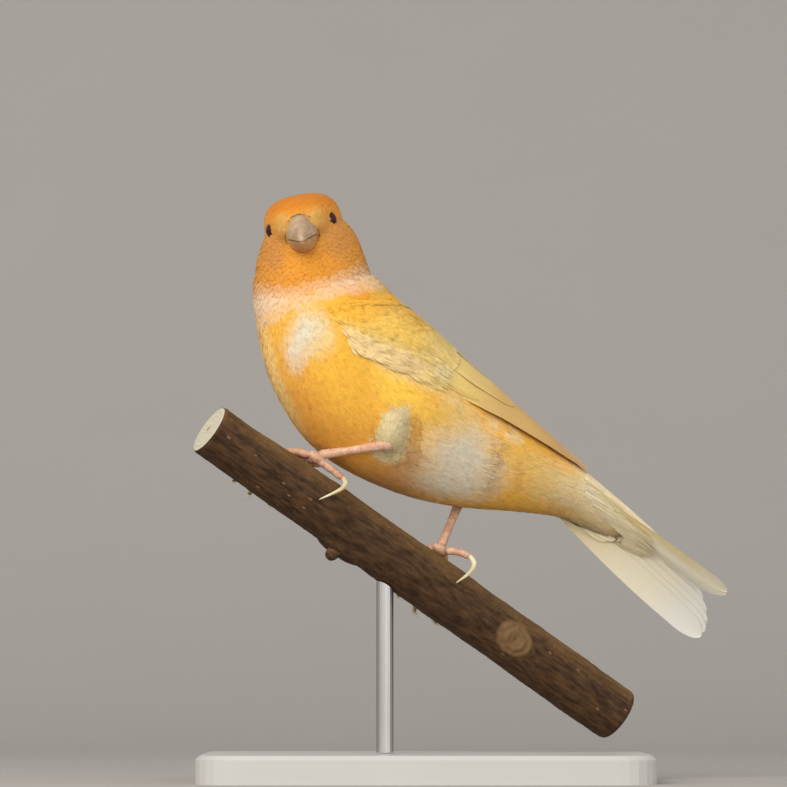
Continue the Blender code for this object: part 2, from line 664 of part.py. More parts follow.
def legs(form):
    """Each leg's feathered thigh, scaled shank, foot with four toes, and four claws."""
    made = []
    for leg in LEGS:
        side = leg.name
        hip, knee, heel = (vector(*p) for p in (leg.hip, leg.knee, leg.heel))
        ankle = on_perch(leg.foot, leg.foot_turn, 2.4)
        points = [hip, (hip + knee) / 2, knee, (knee + heel) / 2, heel]
        thigh = rod(f"thigh_{side}", points, [4.2, 4.8, 4.5, 3.8, 2.2], 9, 12)
        trimmed(thigh, form)
        way = unit(ankle - heel)
        points = [heel - way * 0.6, heel + way * 2.0, (heel + ankle) / 2, ankle - way * 1.6, ankle]
        shank = rod(f"shank_{side}", points, [1.4, 1.15, TARSUS_RADIUS, 1.15, 1.4], 9, 9)
        trimmed(shank, thigh, form)
        toes, claws = [], []
        near = tuple(PERCH_WAY)
        for number, (start, shift, reach) in enumerate(leg.front):
            points, sizes = [], []
            for q in np.linspace(0.0, 1.0, 6):
                turn = leg.foot_turn + (CLAW_START - leg.foot_turn) * q
                along = leg.foot + start * (1 - q) + shift * q**0.9
                sizes.append(TOE_RADIUS * (1.12 - 0.25 * q))
                points.append(on_perch(along, turn, sizes[-1] + GAP + 0.05))
            toes.append(rod(f"toe_{number}", points, sizes, 10, 7, near))
            points = []
            for k, lift in enumerate((1.15, 1.6, 1.3, 0.65)):
                turn = CLAW_START - 1.5 + (reach - CLAW_START) * k / 3
                points.append(on_perch(leg.foot + shift * (1.0 + 0.06 * k), turn, lift))
            claws.append(rod(f"claw_{side}_{number + 2}", points, [0.6, 0.52, 0.38, 0.15], 7, 6, near))
        hind = [on_perch(leg.foot + d, turn, lift) for d, turn, lift in leg.hind]
        toes.append(rod("toe_0", hind[:3], [1.0, 0.9, 0.78], 7, 7))
        claws.append(rod(f"claw_{side}_1", hind[2:], [0.66, 0.6, 0.46, 0.16], 8, 7))
        middle = on_perch(leg.foot + 0.2, leg.foot_turn, 1.75)
        pad = ball(f"foot_{side}", middle, [2.3, 1.7, 1.3], [PERCH_WAY, PERCH_NEAR, PERCH_TOP], 7, 12)
        foot = combine(pad, toes, "UNION")
        for claw in claws:
            trimmed(claw, foot)
        trimmed(shank, foot)
        made += [thigh, shank, foot, *claws]
    return made


def stand(branch):
    """A flat base with softened corners, and one rod cut to the underside of the perch."""
    half_x, half_y, corner = BASE_LENGTH / 2, BASE_DEPTH / 2, 9.0
    outline = []
    for side_x, side_y, start in ((1, 1, 0), (-1, 1, 90), (-1, -1, 180), (1, -1, 270)):
        middle_x, middle_y = side_x * (half_x - corner), side_y * (half_y - corner)
        for turn in np.radians(np.linspace(start, start + 90, 7)):
            outline.append((middle_x + corner * math.cos(turn), middle_y + corner * math.sin(turn)))
    bevel, points, faces = 1.0, [], []
    levels = ((0.0, 0.0), (BASE_THICKNESS - bevel, 0.0), (BASE_THICKNESS, bevel))
    for height, inset in levels:
        for x, y in outline:
            points.append((x * (1 - inset / half_x), y * (1 - inset / half_y), height))
    count = len(outline)
    for i in range(len(levels) - 1):
        for j in range(count):
            k = (j + 1) % count
            faces.append((i * count + j, i * count + k, (i + 1) * count + k, (i + 1) * count + j))
    faces.append(tuple(range(count))[::-1])
    faces.append(tuple(range((len(levels) - 1) * count, len(levels) * count)))
    base = outward(new_object("stand_base", points, faces))
    x, y, top = PERCH_POINT + PERCH_WAY * ROD_ALONG
    points = [(x, y, BASE_THICKNESS + GAP), (x, y, top / 2), (x, y, top)]
    post = rod("stand_rod", points, [ROD_RADIUS] * 3, 3, 20, (1.0, 0.0, 0.0))
    trimmed(post, branch)
    return [base, post]


MATERIALS = {
    "plumage_head": ((0.86, 0.36, 0.06), 0.85),
    "plumage_neck": ((0.90, 0.62, 0.42), 0.85),
    "plumage_body": ((0.88, 0.50, 0.08), 0.85),
    "plumage_wing": ((0.86, 0.66, 0.26), 0.8),
    "plumage_tail": ((0.82, 0.78, 0.62), 0.8),
    "plumage_thigh": ((0.86, 0.78, 0.55), 0.85),
    "eye": ((0.02, 0.012, 0.01), 0.08),
    "bill": ((0.72, 0.58, 0.46), 0.45),
    "skin": ((0.78, 0.48, 0.38), 0.55),
    "claw": ((0.80, 0.74, 0.52), 0.4),
    "bark": ((0.16, 0.11, 0.075), 0.85),
    "base": ((0.78, 0.77, 0.74), 0.5),
    "rod": ((0.45, 0.44, 0.42), 0.35),
}
# The material of each object, by how its name starts
FINISHES = {
    "head": "plumage_head", "neck": "plumage_neck", "torso": "plumage_body", "wing": "plumage_wing",
    "tail": "plumage_tail", "thigh": "plumage_thigh", "eye": "eye", "bill": "bill", "shank": "skin",
    "foot": "skin", "claw": "claw", "perch": "bark", "stand_base": "base", "stand_rod": "rod",
}


def paint(objects):
    """Gives each object its material."""
    for obj in objects:
        finish = next(slot for start, slot in FINISHES.items() if obj.name.startswith(start))
        material = bpy.data.materials.get(finish) or bpy.data.materials.new(finish)
        material.use_nodes = True
        shader = material.node_tree.nodes["Principled BSDF"]
        colour, roughness = MATERIALS[finish]
        shader.inputs["Base Color"].default_value = (*colour, 1.0)
        shader.inputs["Roughness"].default_value = roughness
        shader.inputs["Metallic"].default_value = 1.0 if finish == "rod" else 0.0
        obj.data.materials.clear()
        obj.data.materials.append(material)
        obj.data.shade_smooth()
        obj.data.set_sharp_from_angle(angle=math.radians(40))


def main():
    """Builds every piece, and leaves only the finished ones in the file."""
    for obj in list(bpy.data.objects):
        bpy.data.objects.remove(obj)
    bird = Bird()
    form = bird.form
    head, neck, torso, rump = body_pieces(form)
    pieces = [head, neck, torso, tail(rump), *eyes(head), *bill(form)]
    pieces += [wing(bird, 1.0, "wing_left"), wing(bird, -1.0, "wing_right")]
    pieces += legs(form)
    branch = perch()
    pieces += [branch, *stand(branch)]
    remove(form)
    paint(pieces)


main()
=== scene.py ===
"""The looks of a perched canary: plumage, bill, eyes, legs, perch, stand and a plain studio.

Lengths are in millimetres until a mesh is made. +Z is up, the bird faces -X with its head turned
towards -Y, and the origin is the middle of the stand's underside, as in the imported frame.
"""

import itertools
import logging
import math
from collections.abc import Callable, Sequence
from dataclasses import astuple, dataclass
from enum import Enum
from functools import partial

import bpy
import numpy as np
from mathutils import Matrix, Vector
from mathutils.bvhtree import BVHTree


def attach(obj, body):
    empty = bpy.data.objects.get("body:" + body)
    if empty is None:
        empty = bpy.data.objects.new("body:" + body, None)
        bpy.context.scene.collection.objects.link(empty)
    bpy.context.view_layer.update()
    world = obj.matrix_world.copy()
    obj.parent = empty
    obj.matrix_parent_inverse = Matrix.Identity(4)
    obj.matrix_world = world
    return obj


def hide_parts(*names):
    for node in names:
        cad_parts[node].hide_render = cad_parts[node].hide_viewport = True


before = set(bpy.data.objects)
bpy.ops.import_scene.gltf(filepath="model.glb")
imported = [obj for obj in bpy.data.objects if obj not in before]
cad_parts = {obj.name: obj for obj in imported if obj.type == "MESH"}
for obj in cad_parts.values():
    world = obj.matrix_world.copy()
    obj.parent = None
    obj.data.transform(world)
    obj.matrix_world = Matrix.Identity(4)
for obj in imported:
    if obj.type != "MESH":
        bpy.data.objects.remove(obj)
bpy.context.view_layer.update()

Array = np.ndarray
Material = bpy.types.Material
Lay = Callable[[Array, Array, Array], Array]
logger = logging.getLogger("canary")

MM = 0.001
BAKE_MAP = "OFBake"
COLOUR = "plumage"


def vector(*values: float) -> Array:
    """A numpy vector."""
    return np.array(values, float)


def unit(v: Array) -> Array:
    """v, or each row of v, at length 1."""
    return v / np.maximum(np.linalg.norm(v, axis=-1, keepdims=True), 1e-9)


def ramp(x: Array, start: float, end: float) -> Array:
    """A smooth rise from 0 at start to 1 at end, which may lie below start."""
    t = np.clip((np.asarray(x, float) - start) / (end - start), 0.0, 1.0)
    return t * t * (3.0 - 2.0 * t)


def full_turn(count: int) -> Array:
    """That many even steps round a circle, in radians."""
    return np.linspace(0, 2 * math.pi, count, endpoint=False)


def smooth_rows(rows: Sequence, count: int) -> Array:
    """Rows on a Catmull-Rom curve through the given rows.

    Args:
        rows: The rows that the curve passes through.
        count: How many rows to return, evenly spaced by row number.

    Returns:
        An array with count rows.
    """
    rows = np.asarray(rows, float)
    ends = np.vstack([2 * rows[0] - rows[1], rows, 2 * rows[-1] - rows[-2]])
    at = np.linspace(0, len(rows) - 1, count)
    first = np.minimum(at.astype(int), len(rows) - 2)
    q = (at - first)[:, None]
    a, b, c, d = (ends[first + i] for i in range(4))
    slope, bend, twist = c - a, 2 * a - 5 * b + 4 * c - d, 3 * b - a - 3 * c + d
    return 0.5 * (2 * b + slope * q + bend * q**2 + twist * q**3)


def noise(points: Array, size: float, seed: int) -> Array:
    """Smooth seeded noise.

    Args:
        points: Where to read it, one row each.
        size: The width of its cells, in the points' unit.
        seed: Which pattern.

    Returns:
        Values from -1 to 1, one for each point.
    """
    scaled = np.asarray(points, float) / size
    cell = np.floor(scaled)
    share = scaled - cell
    share = share * share * (3 - 2 * share)
    keys = vector(127.1, 311.7, 74.7)[: scaled.shape[1]]
    total = np.zeros(len(scaled))
    for corner in itertools.product((0, 1), repeat=scaled.shape[1]):
        wave = np.sin((cell + corner) @ keys + 17.3 * seed) * 43758.5453
        weight = np.prod(np.where(corner, share, 1 - share), axis=1)
        total += weight * (wave - np.floor(wave))
    return 2 * total - 1


def linear(code: str) -> Array:
    """The linear RGB of an sRGB hex colour such as "#E8963A"."""
    value = np.array([int(code[i : i + 2], 16) / 255 for i in (1, 3, 5)])
    return np.where(value <= 0.04045, value / 12.92, ((value + 0.055) / 1.055) ** 2.4)


def rgba(code: str) -> tuple[float, float, float, float]:
    """The linear RGBA of an sRGB hex colour."""
    return (*linear(code).tolist(), 1.0)


def blended(colours: Array, *zones: tuple[str, Array]) -> Array:
    """Lays zones of colour over others.

    Args:
        colours: One linear colour for each point.
        zones: Each zone's hex colour, and its strength at each point.

    Returns:
        The new colours.
    """
    for code, strength in zones:
        colours = colours + (linear(code) - colours) * strength[:, None]
    return colours


def add_node(
    tree: bpy.types.NodeTree, kind: str, inputs: dict | None = None, gives: int | str = 0, **settings
) -> bpy.types.NodeSocket:
    """Adds one shader node with its settings and links.

    Args:
        tree: The material's node tree.
        kind: The node's type name, without its "ShaderNode" start.
        inputs: For each input, by name or number, a value or the output that feeds it.
        gives: Which of its outputs is wanted, by number or name.
        settings: The node's own properties.

    Returns:
        That output of the new node.
    """
    node = tree.nodes.new("ShaderNode" + kind)
    for name, value in settings.items():
        setattr(node, name, value)
    for name, value in (inputs or {}).items():
        if isinstance(value, bpy.types.NodeSocket):
            tree.links.new(value, node.inputs[name])
        else:
            node.inputs[name].default_value = value
    return node.outputs[gives]


class Slot(Enum):
    """The record's material slots that the pieces made here belong to."""

    HEAD = "plumage_head"
    NECK = "plumage_neck"
    BODY = "plumage_body"
    WING = "plumage_wing"
    TAIL = "plumage_tail"
    THIGH = "plumage_thigh"
    EYE = "eye"
    BILL = "bill"
    SKIN = "skin"
    CLAW = "claw"
    BARK = "bark"


@dataclass
class Mesh:
    """Points in millimetres and faces, with what a finish reads from each point."""

    points: Array
    faces: Sequence
    colours: Array | None = None
    bake: Array | None = None
    vane: Array | None = None
    normals: Array | None = None

    @staticmethod
    def joined(meshes: Sequence["Mesh"]) -> "Mesh":
        """Several meshes, which carry the same kinds of data, as one."""
        starts = itertools.accumulate((len(m.points) for m in meshes), initial=0)
        faces = [tuple(i + start for i in face) for m, start in zip(meshes, starts) for face in m.faces]
        extra = {}
        for name in ("colours", "bake", "vane", "normals"):
            if getattr(meshes[0], name) is not None:
                extra[name] = np.vstack([getattr(m, name) for m in meshes])
        return Mesh(np.vstack([m.points for m in meshes]), faces, **extra)


def build(name: str, mesh: Mesh, material: Material, slot: Slot, *stands_for: str) -> None:
    """Makes one smooth-shaded piece that rides on the bird.

    Args:
        name: The piece's name.
        mesh: Its points, faces and data.
        material: Its finish.
        slot: The record's slot that the finish belongs to; not used.
        stands_for: The frame's nodes that it replaces.
    """
    data = bpy.data.meshes.new(name)
    sizes = np.array([len(face) for face in mesh.faces], np.int32)
    corners = np.concatenate(list(mesh.faces)).astype(np.int32)
    data.vertices.add(len(mesh.points))
    data.vertices.foreach_set("co", (np.asarray(mesh.points, np.float32) * MM).ravel())
    data.loops.add(len(corners))
    data.loops.foreach_set("vertex_index", corners)
    data.polygons.add(len(sizes))
    data.polygons.foreach_set("loop_start", np.concatenate([[0], np.cumsum(sizes)[:-1]]).astype(np.int32))
    data.update(calc_edges=True)
    data.validate()
    if mesh.colours is not None:
        layer = data.color_attributes.new(COLOUR, "FLOAT_COLOR", "POINT")
        full = np.column_stack([mesh.colours, np.ones(len(mesh.colours))])
        layer.data.foreach_set("color", full.astype(np.float32).ravel())
    for layer_name, places in (("vane", mesh.vane), (BAKE_MAP, mesh.bake)):
        if places is not None:
            layer = data.uv_layers.new(name=layer_name)
            layer.data.foreach_set("uv", places[corners].astype(np.float32).ravel())
    data.shade_smooth()
    if mesh.normals is not None:
        data.normals_split_custom_set_from_vertices(mesh.normals.tolist())
    data.materials.append(material)
    made = bpy.data.objects.new(name, data)
    bpy.context.scene.collection.objects.link(made)
    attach(made, "root")
    if stands_for:
        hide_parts(*stands_for)
    logger.info("%s: %d faces", name, len(sizes))


def side_vectors(centres: Array, hint: Array) -> tuple[Array, Array, Array]:
    """The frame along a line.

    Args:
        centres: Points on the line.
        hint: The direction that the last of the three stays nearest to.

    Returns:
        The tangents, and two directions square to them.
    """
    tangents = unit(np.gradient(np.asarray(centres, float), axis=0))
    ups = unit(hint - (tangents @ hint)[:, None] * tangents)
    return tangents, np.cross(tangents, ups), ups


def grid_faces(rows: int, columns: int, closed: bool) -> list[tuple[int, ...]]:
    """Quads over a grid of points, row by row.

    Args:
        rows: How many rows.
        columns: How many points in a row.
        closed: Whether each row runs round to its start.

    Returns:
        The faces, as tuples of point numbers.
    """
    faces = []
    for i in range(rows - 1):
        for j in range(columns if closed else columns - 1):
            here, after = i * columns + j, i * columns + (j + 1) % columns
            faces.append((here, after, after + columns, here + columns))
    return faces


def tube(
    centres: Array, across: Array, along: Array, reach_across: Array, reach_up: Array, reach_down: Array,
    sides: int, squareness: float = 2.0,
) -> Mesh:
    """A closed tube through centres.

    Args:
        centres: The middle of each section.
        across: The sections' sideways direction, one for each or one for all.
        along: Their upward direction.
        reach_across: Half widths.
        reach_up: Reaches to the upward side.
        reach_down: Reaches to the downward side.
        sides: Points round each section.
        squareness: 2 is an ellipse, and more has flatter sides.

    Returns:
        The tube with its two end caps.
    """
    centres = np.asarray(centres)
    count = len(centres)
    across, along = (np.broadcast_to(way, centres.shape) for way in (across, along))
    wide, high, low = (
        np.broadcast_to(reach, count)[:, None] for reach in (reach_across, reach_up, reach_down)
    )
    turns = full_turn(sides)
    power = 2.0 / squareness
    flat = np.sign(np.cos(turns)) * np.abs(np.cos(turns)) ** power
    tall = np.sign(np.sin(turns)) * np.abs(np.sin(turns)) ** power
    points = centres[:, None] + across[:, None] * (wide * flat)[..., None]
    points = points + along[:, None] * (np.where(tall > 0, high, low) * tall)[..., None]
    faces = grid_faces(count, sides, True)
    faces.append(tuple(range(sides))[::-1])
    faces.append(tuple(range((count - 1) * sides, count * sides)))
    if np.cross(across[0], along[0]) @ (centres[-1] - centres[0]) < 0:
        faces = [face[::-1] for face in faces]
    return Mesh(points.reshape(-1, 3), faces)


def rod(
    points: Sequence, radii: Sequence, steps: int, sides: int, hint: Sequence = (0.3, -0.2, 1.0),
    shape: Callable[[Array, Array], Array] | None = None,
) -> Mesh:
    """A round tube on a smooth curve.

    Args:
        points: Points that the curve passes through.
        radii: The radius at each of them.
        steps: How many sections.
        sides: Points round each section.
        hint: The direction that turn 90 degrees points to.
        shape: A share of the radius, from the distance along and the turn in radians.

    Returns:
        The closed tube, with rounded ends.
    """
    rows = smooth_rows(np.column_stack([points, radii]), steps)
    centres, size = rows[:, :3], rows[:, 3].copy()
    run = np.concatenate([[0.0], np.cumsum(np.linalg.norm(np.diff(centres, axis=0), axis=1))])
    near_end = np.minimum(run, run[-1] - run)
    size *= np.sqrt(np.clip(1 - (1 - np.clip(near_end / size, 0, 1)) ** 2, 0.03, 1))
    _, across, up = side_vectors(centres, vector(*hint))
    made = tube(centres, across, up, size, size, size, sides)
    if shape is not None:
        share = shape(np.repeat(run, sides), np.tile(full_turn(sides), steps))
        middle = np.repeat(centres, sides, axis=0)
        made.points = middle + (made.points - middle) * share[:, None]
    return made


def ball(centre: Array, radii: Sequence, axes: Sequence, rings: int, sides: int) -> Mesh:
    """An ellipsoid.

    Args:
        centre: Its middle.
        radii: Its three half sizes.
        axes: Their directions, as rows.
        rings: Sections from pole to pole.
        sides: Points round each section.

    Returns:
        The closed form.
    """
    turn = np.linspace(0.03, math.pi - 0.03, rings)
    middle = centre + (np.cos(turn) * radii[2])[:, None] * np.asarray(axes[2])
    tall = np.sin(turn) * radii[1]
    return tube(middle, axes[0], axes[1], np.sin(turn) * radii[0], tall, tall, sides)


def torus(centre: Array, axis: Array, radius: float, thickness: float, lumps: int) -> Mesh:
    """A ring about axis, with that many small lumps along it."""
    first = unit(np.cross(axis, vector(0.0, 0.0, 1.0)))
    second = np.cross(axis, first)
    sides, round_sides = 96, 10
    turn = np.repeat(full_turn(sides), round_sides)[:, None]
    small = np.tile(full_turn(round_sides), sides)[:, None]
    size = thickness * (1 + 0.22 * np.cos(lumps * turn))
    spoke = first * np.cos(turn) + second * np.sin(turn)
    points = centre + spoke * (radius + size * np.cos(small)) + axis * (size * np.sin(small))
    faces = [tuple(i % len(points) for i in face) for face in grid_faces(sides + 1, round_sides, True)]
    return Mesh(points, faces)




@dataclass(frozen=True)
class Section:
    """One cross section of the neck and body, from the head end to the tail end."""

    x: float
    y: float
    z: float
    side: float
    back: float
    belly: float
    lean_deg: float


# The middle of each section, its half width, its reach to the back and to the belly, and how far
# its back leans to +Y, from the throat down to the tail, as the frame's solids have them
BODY = (
    Section(-28.5, -6.4, 133.4, 5.6, 6.4, 6.0, 12.0),
    Section(-28.2, -4.6, 128.8, 8.0, 9.9, 8.8, 14.0),
    Section(-27.3, -5.6, 123.8, 11.2, 12.4, 11.4, 18.0),
    Section(-26.6, -6.0, 118.2, 12.8, 13.8, 13.2, 22.0),
    Section(-25.6, -5.4, 112.0, 14.2, 15.6, 15.2, 26.0),
    Section(-21.4, -3.8, 103.4, 15.8, 18.0, 19.6, 26.0),
    Section(-16.7, -2.2, 97.0, 16.4, 17.1, 21.7, 23.0),
    Section(-11.2, -0.3, 91.0, 16.6, 17.2, 21.5, 20.0),
    Section(-1.2, 3.4, 83.6, 15.8, 16.0, 18.4, 16.0),
    Section(9.9, 7.3, 77.8, 13.0, 14.1, 15.0, 14.0),
    Section(24.0, 12.2, 72.0, 9.6, 9.4, 9.8, 15.0),
    Section(33.6, 15.4, 67.8, 7.4, 6.2, 6.4, 20.0),
    Section(40.8, 17.2, 63.3, 6.0, 4.2, 4.4, 28.0),
    Section(47.6, 18.4, 58.2, 4.0, 1.8, 2.2, 34.0),
)
HEADING_DEG = 20.0
BEND_SECTION = 4.85

HEAD_CENTRE = vector(-28.5, -8.7, 128.1)
HEAD_TILT_DEG = 11.0
# Along the head from the nape to the bill: distance forward, half width, height up and down, and
# how far the section lies to the left
HEAD_SECTIONS = (
    (-10.0, 2.4, 2.0, 3.0, 1.2),
    (-8.6, 5.8, 4.9, 6.5, 1.2),
    (-5.2, 8.3, 7.2, 9.0, 0.8),
    (-1.0, 9.1, 7.4, 9.6, 0.3),
    (2.6, 8.2, 6.8, 9.2, 0.0),
    (5.6, 6.6, 5.6, 7.8, 0.0),
    (8.0, 4.9, 3.6, 6.2, 0.0),
    (9.4, 3.2, 1.8, 4.8, 0.0),
)
HEAD_SQUARENESS = 2.6
EYE = vector(2.9, 5.95, 0.0)
EYE_RADIUS = 2.0
BILL_ROOT = vector(7.6, 0.0, -2.7)

# The perch's middle line passes this point, in this direction, down towards the tail
PERCH_POINT = vector(0.0, 0.0, 46.6)
PERCH_WAY = unit(vector(0.785, 0.33, -0.545))
PERCH_NEAR = unit(np.cross(PERCH_WAY, vector(0.0, 0.0, 1.0)))
PERCH_TOP = np.cross(PERCH_NEAR, PERCH_WAY)
PERCH_RADIUS = 6.75

TAIL_ROOT = vector(31.8, 15.7, 72.0)
TAIL_WAY = unit(vector(0.772, 0.08, -0.633))
TAIL_LEFT = vector(0.46, -0.74, 0.47)
TAIL_LEFT = unit(TAIL_LEFT - (TAIL_LEFT @ TAIL_WAY) * TAIL_WAY)
TAIL_UP = np.cross(TAIL_LEFT, TAIL_WAY)


def head_axes() -> Array:
    """Forward, left and up for the head, as rows. It faces the viewer and is tipped to one side."""
    forward = unit(vector(-0.03, -1.0, -0.06))
    tilt = math.radians(HEAD_TILT_DEG)
    left = unit(vector(math.cos(tilt), 0.0, math.sin(tilt)))
    left = unit(left - (left @ forward) * forward)
    return np.array([forward, left, np.cross(forward, left)])


HEAD_AXES = head_axes()


def in_head(forward: float, left: float, up: float) -> Array:
    """A point in the head's own axes."""
    return HEAD_CENTRE + vector(forward, left, up) @ HEAD_AXES


def on_perch(distance: float, turn_deg: float, lift: float) -> Array:
    """A point lift above the bark, turned from the top towards the near side."""
    turn = math.radians(turn_deg)
    out = math.cos(turn) * PERCH_TOP + math.sin(turn) * PERCH_NEAR
    return PERCH_POINT + PERCH_WAY * distance + out * (PERCH_RADIUS + lift)


@dataclass(frozen=True)
class Leg:
    """One leg's joints, and where its foot stands along the perch and round it.

    Each front toe is given by where along the foot it starts, how far along the perch it ends and
    how far round its claw reaches. The hind toe passes points along the perch, round it and off it.
    """

    name: str
    hip: tuple
    knee: tuple
    heel: tuple
    foot: float
    foot_turn: float
    front: tuple
    hind: tuple

    def beside(self, points: Array, most: float) -> tuple[Array, Array]:
        """How far along the thigh points lie, from 0 to most with 1 at the heel, and how far off it."""
        hip = vector(*self.hip)
        bone = vector(*self.heel) - hip
        along = np.clip((points - hip) @ bone / (bone @ bone), 0, most)
        return along, np.linalg.norm(points - hip - along[:, None] * bone, axis=1)


LEGS = (
    Leg(
        "left", (-6.4, -7.6, 89.4), (-8.0, -13.6, 83.2), (-8.9, -16.2, 77.0), -38.3, 8.0,
        ((-1.9, -11.0, -152.0), (0.0, -6.8, -166.0), (1.7, -1.5, -150.0)),
        ((0.8, 12, 1.5), (4.0, 16, 1.5), (7.6, 22, 1.4), (8.0, 40, 1.5), (7.0, 62, 1.4), (3.9, 97, 0.6)),
    ),
    Leg(
        "right", (4.0, 13.0, 76.0), (6.6, 13.4, 70.0), (8.1, 12.2, 65.0), -0.3, -10.0,
        ((-1.6, -1.5, -150.0), (0.3, 3.6, -172.0), (1.9, 8.5, -155.0)),
        ((0.8, 4, 1.7), (3.2, 12, 3.0), (6.0, 15, 3.6), (7.3, 24, 3.0), (6.9, 42, 1.5), (4.7, 76, 0.6)),
    ),
)
THIGH_RADII = (4.2, 4.8, 4.5, 3.8, 2.2)
THIGH_MIDDLE = vector(-8.1, -13.9, 81.4)
THIGH_BULGE = (4.0, 4.9, 6.2)


def thigh(leg: Leg) -> list[Mesh]:
    """The feathered thigh of one leg, as plain forms."""
    hip, knee, heel = vector(*leg.hip), vector(*leg.knee), vector(*leg.heel)
    bone = rod([hip, (hip + knee) / 2, knee, (knee + heel) / 2, heel], THIGH_RADII, 24, 28)
    if leg.name == "right":
        return [bone]
    return [bone, ball(THIGH_MIDDLE, THIGH_BULGE, np.eye(3), 24, 32)]


def fused(meshes: Sequence[Mesh], voxel: float, rounds: int) -> Mesh:
    """Several closed forms as one smooth closed surface.

    Args:
        meshes: The forms, which may cross.
        voxel: The size of its faces.
        rounds: How often it is smoothed.

    Returns:
        The surface, in quads and triangles.
    """
    data = bpy.data.meshes.new("form")
    form = Mesh.joined(meshes)
    data.from_pydata((form.points * MM).tolist(), [], form.faces)
    made = bpy.data.objects.new("form", data)
    bpy.context.scene.collection.objects.link(made)
    remesh = made.modifiers.new("remesh", "REMESH")
    remesh.mode = "VOXEL"
    remesh.voxel_size = voxel * MM
    smooth = made.modifiers.new("smooth", "SMOOTH")
    smooth.factor = 0.5
    smooth.iterations = rounds
    bpy.context.view_layer.update()
    result = made.evaluated_get(bpy.context.evaluated_depsgraph_get()).to_mesh()
    places = np.empty(len(result.vertices) * 3)
    result.vertices.foreach_get("co", places)
    quads = [tuple(p.vertices) for p in result.polygons]
    bpy.data.objects.remove(made)
    bpy.data.meshes.remove(data)
    return Mesh(places.reshape(-1, 3) / MM, quads)


@dataclass
class Places:
    """Points on the bird, and where they lie on it.

    along is the distance down the body from the head end, turn the degrees round it (0 the left
    side, 90 the back, -90 the belly), and head the place in the head's forward, left and up.
    """

    points: Array
    along: Array
    turn: Array
    head: Array

    @property
    def from_bill(self) -> Array:
        """How far each point is from the root of the bill."""
        return np.linalg.norm(self.head - BILL_ROOT, axis=1)

    @property
    def from_eye(self) -> Array:
        """How far each point is from the middle of the nearer eye."""
        forward, left, up = self.head.T
        return np.linalg.norm(np.column_stack([forward, np.abs(left), up]) - EYE, axis=1)

    def pick(self, which: Array) -> "Places":
        """Some of the places, by mask or number."""
        return Places(self.points[which], self.along[which], self.turn[which], self.head[which])


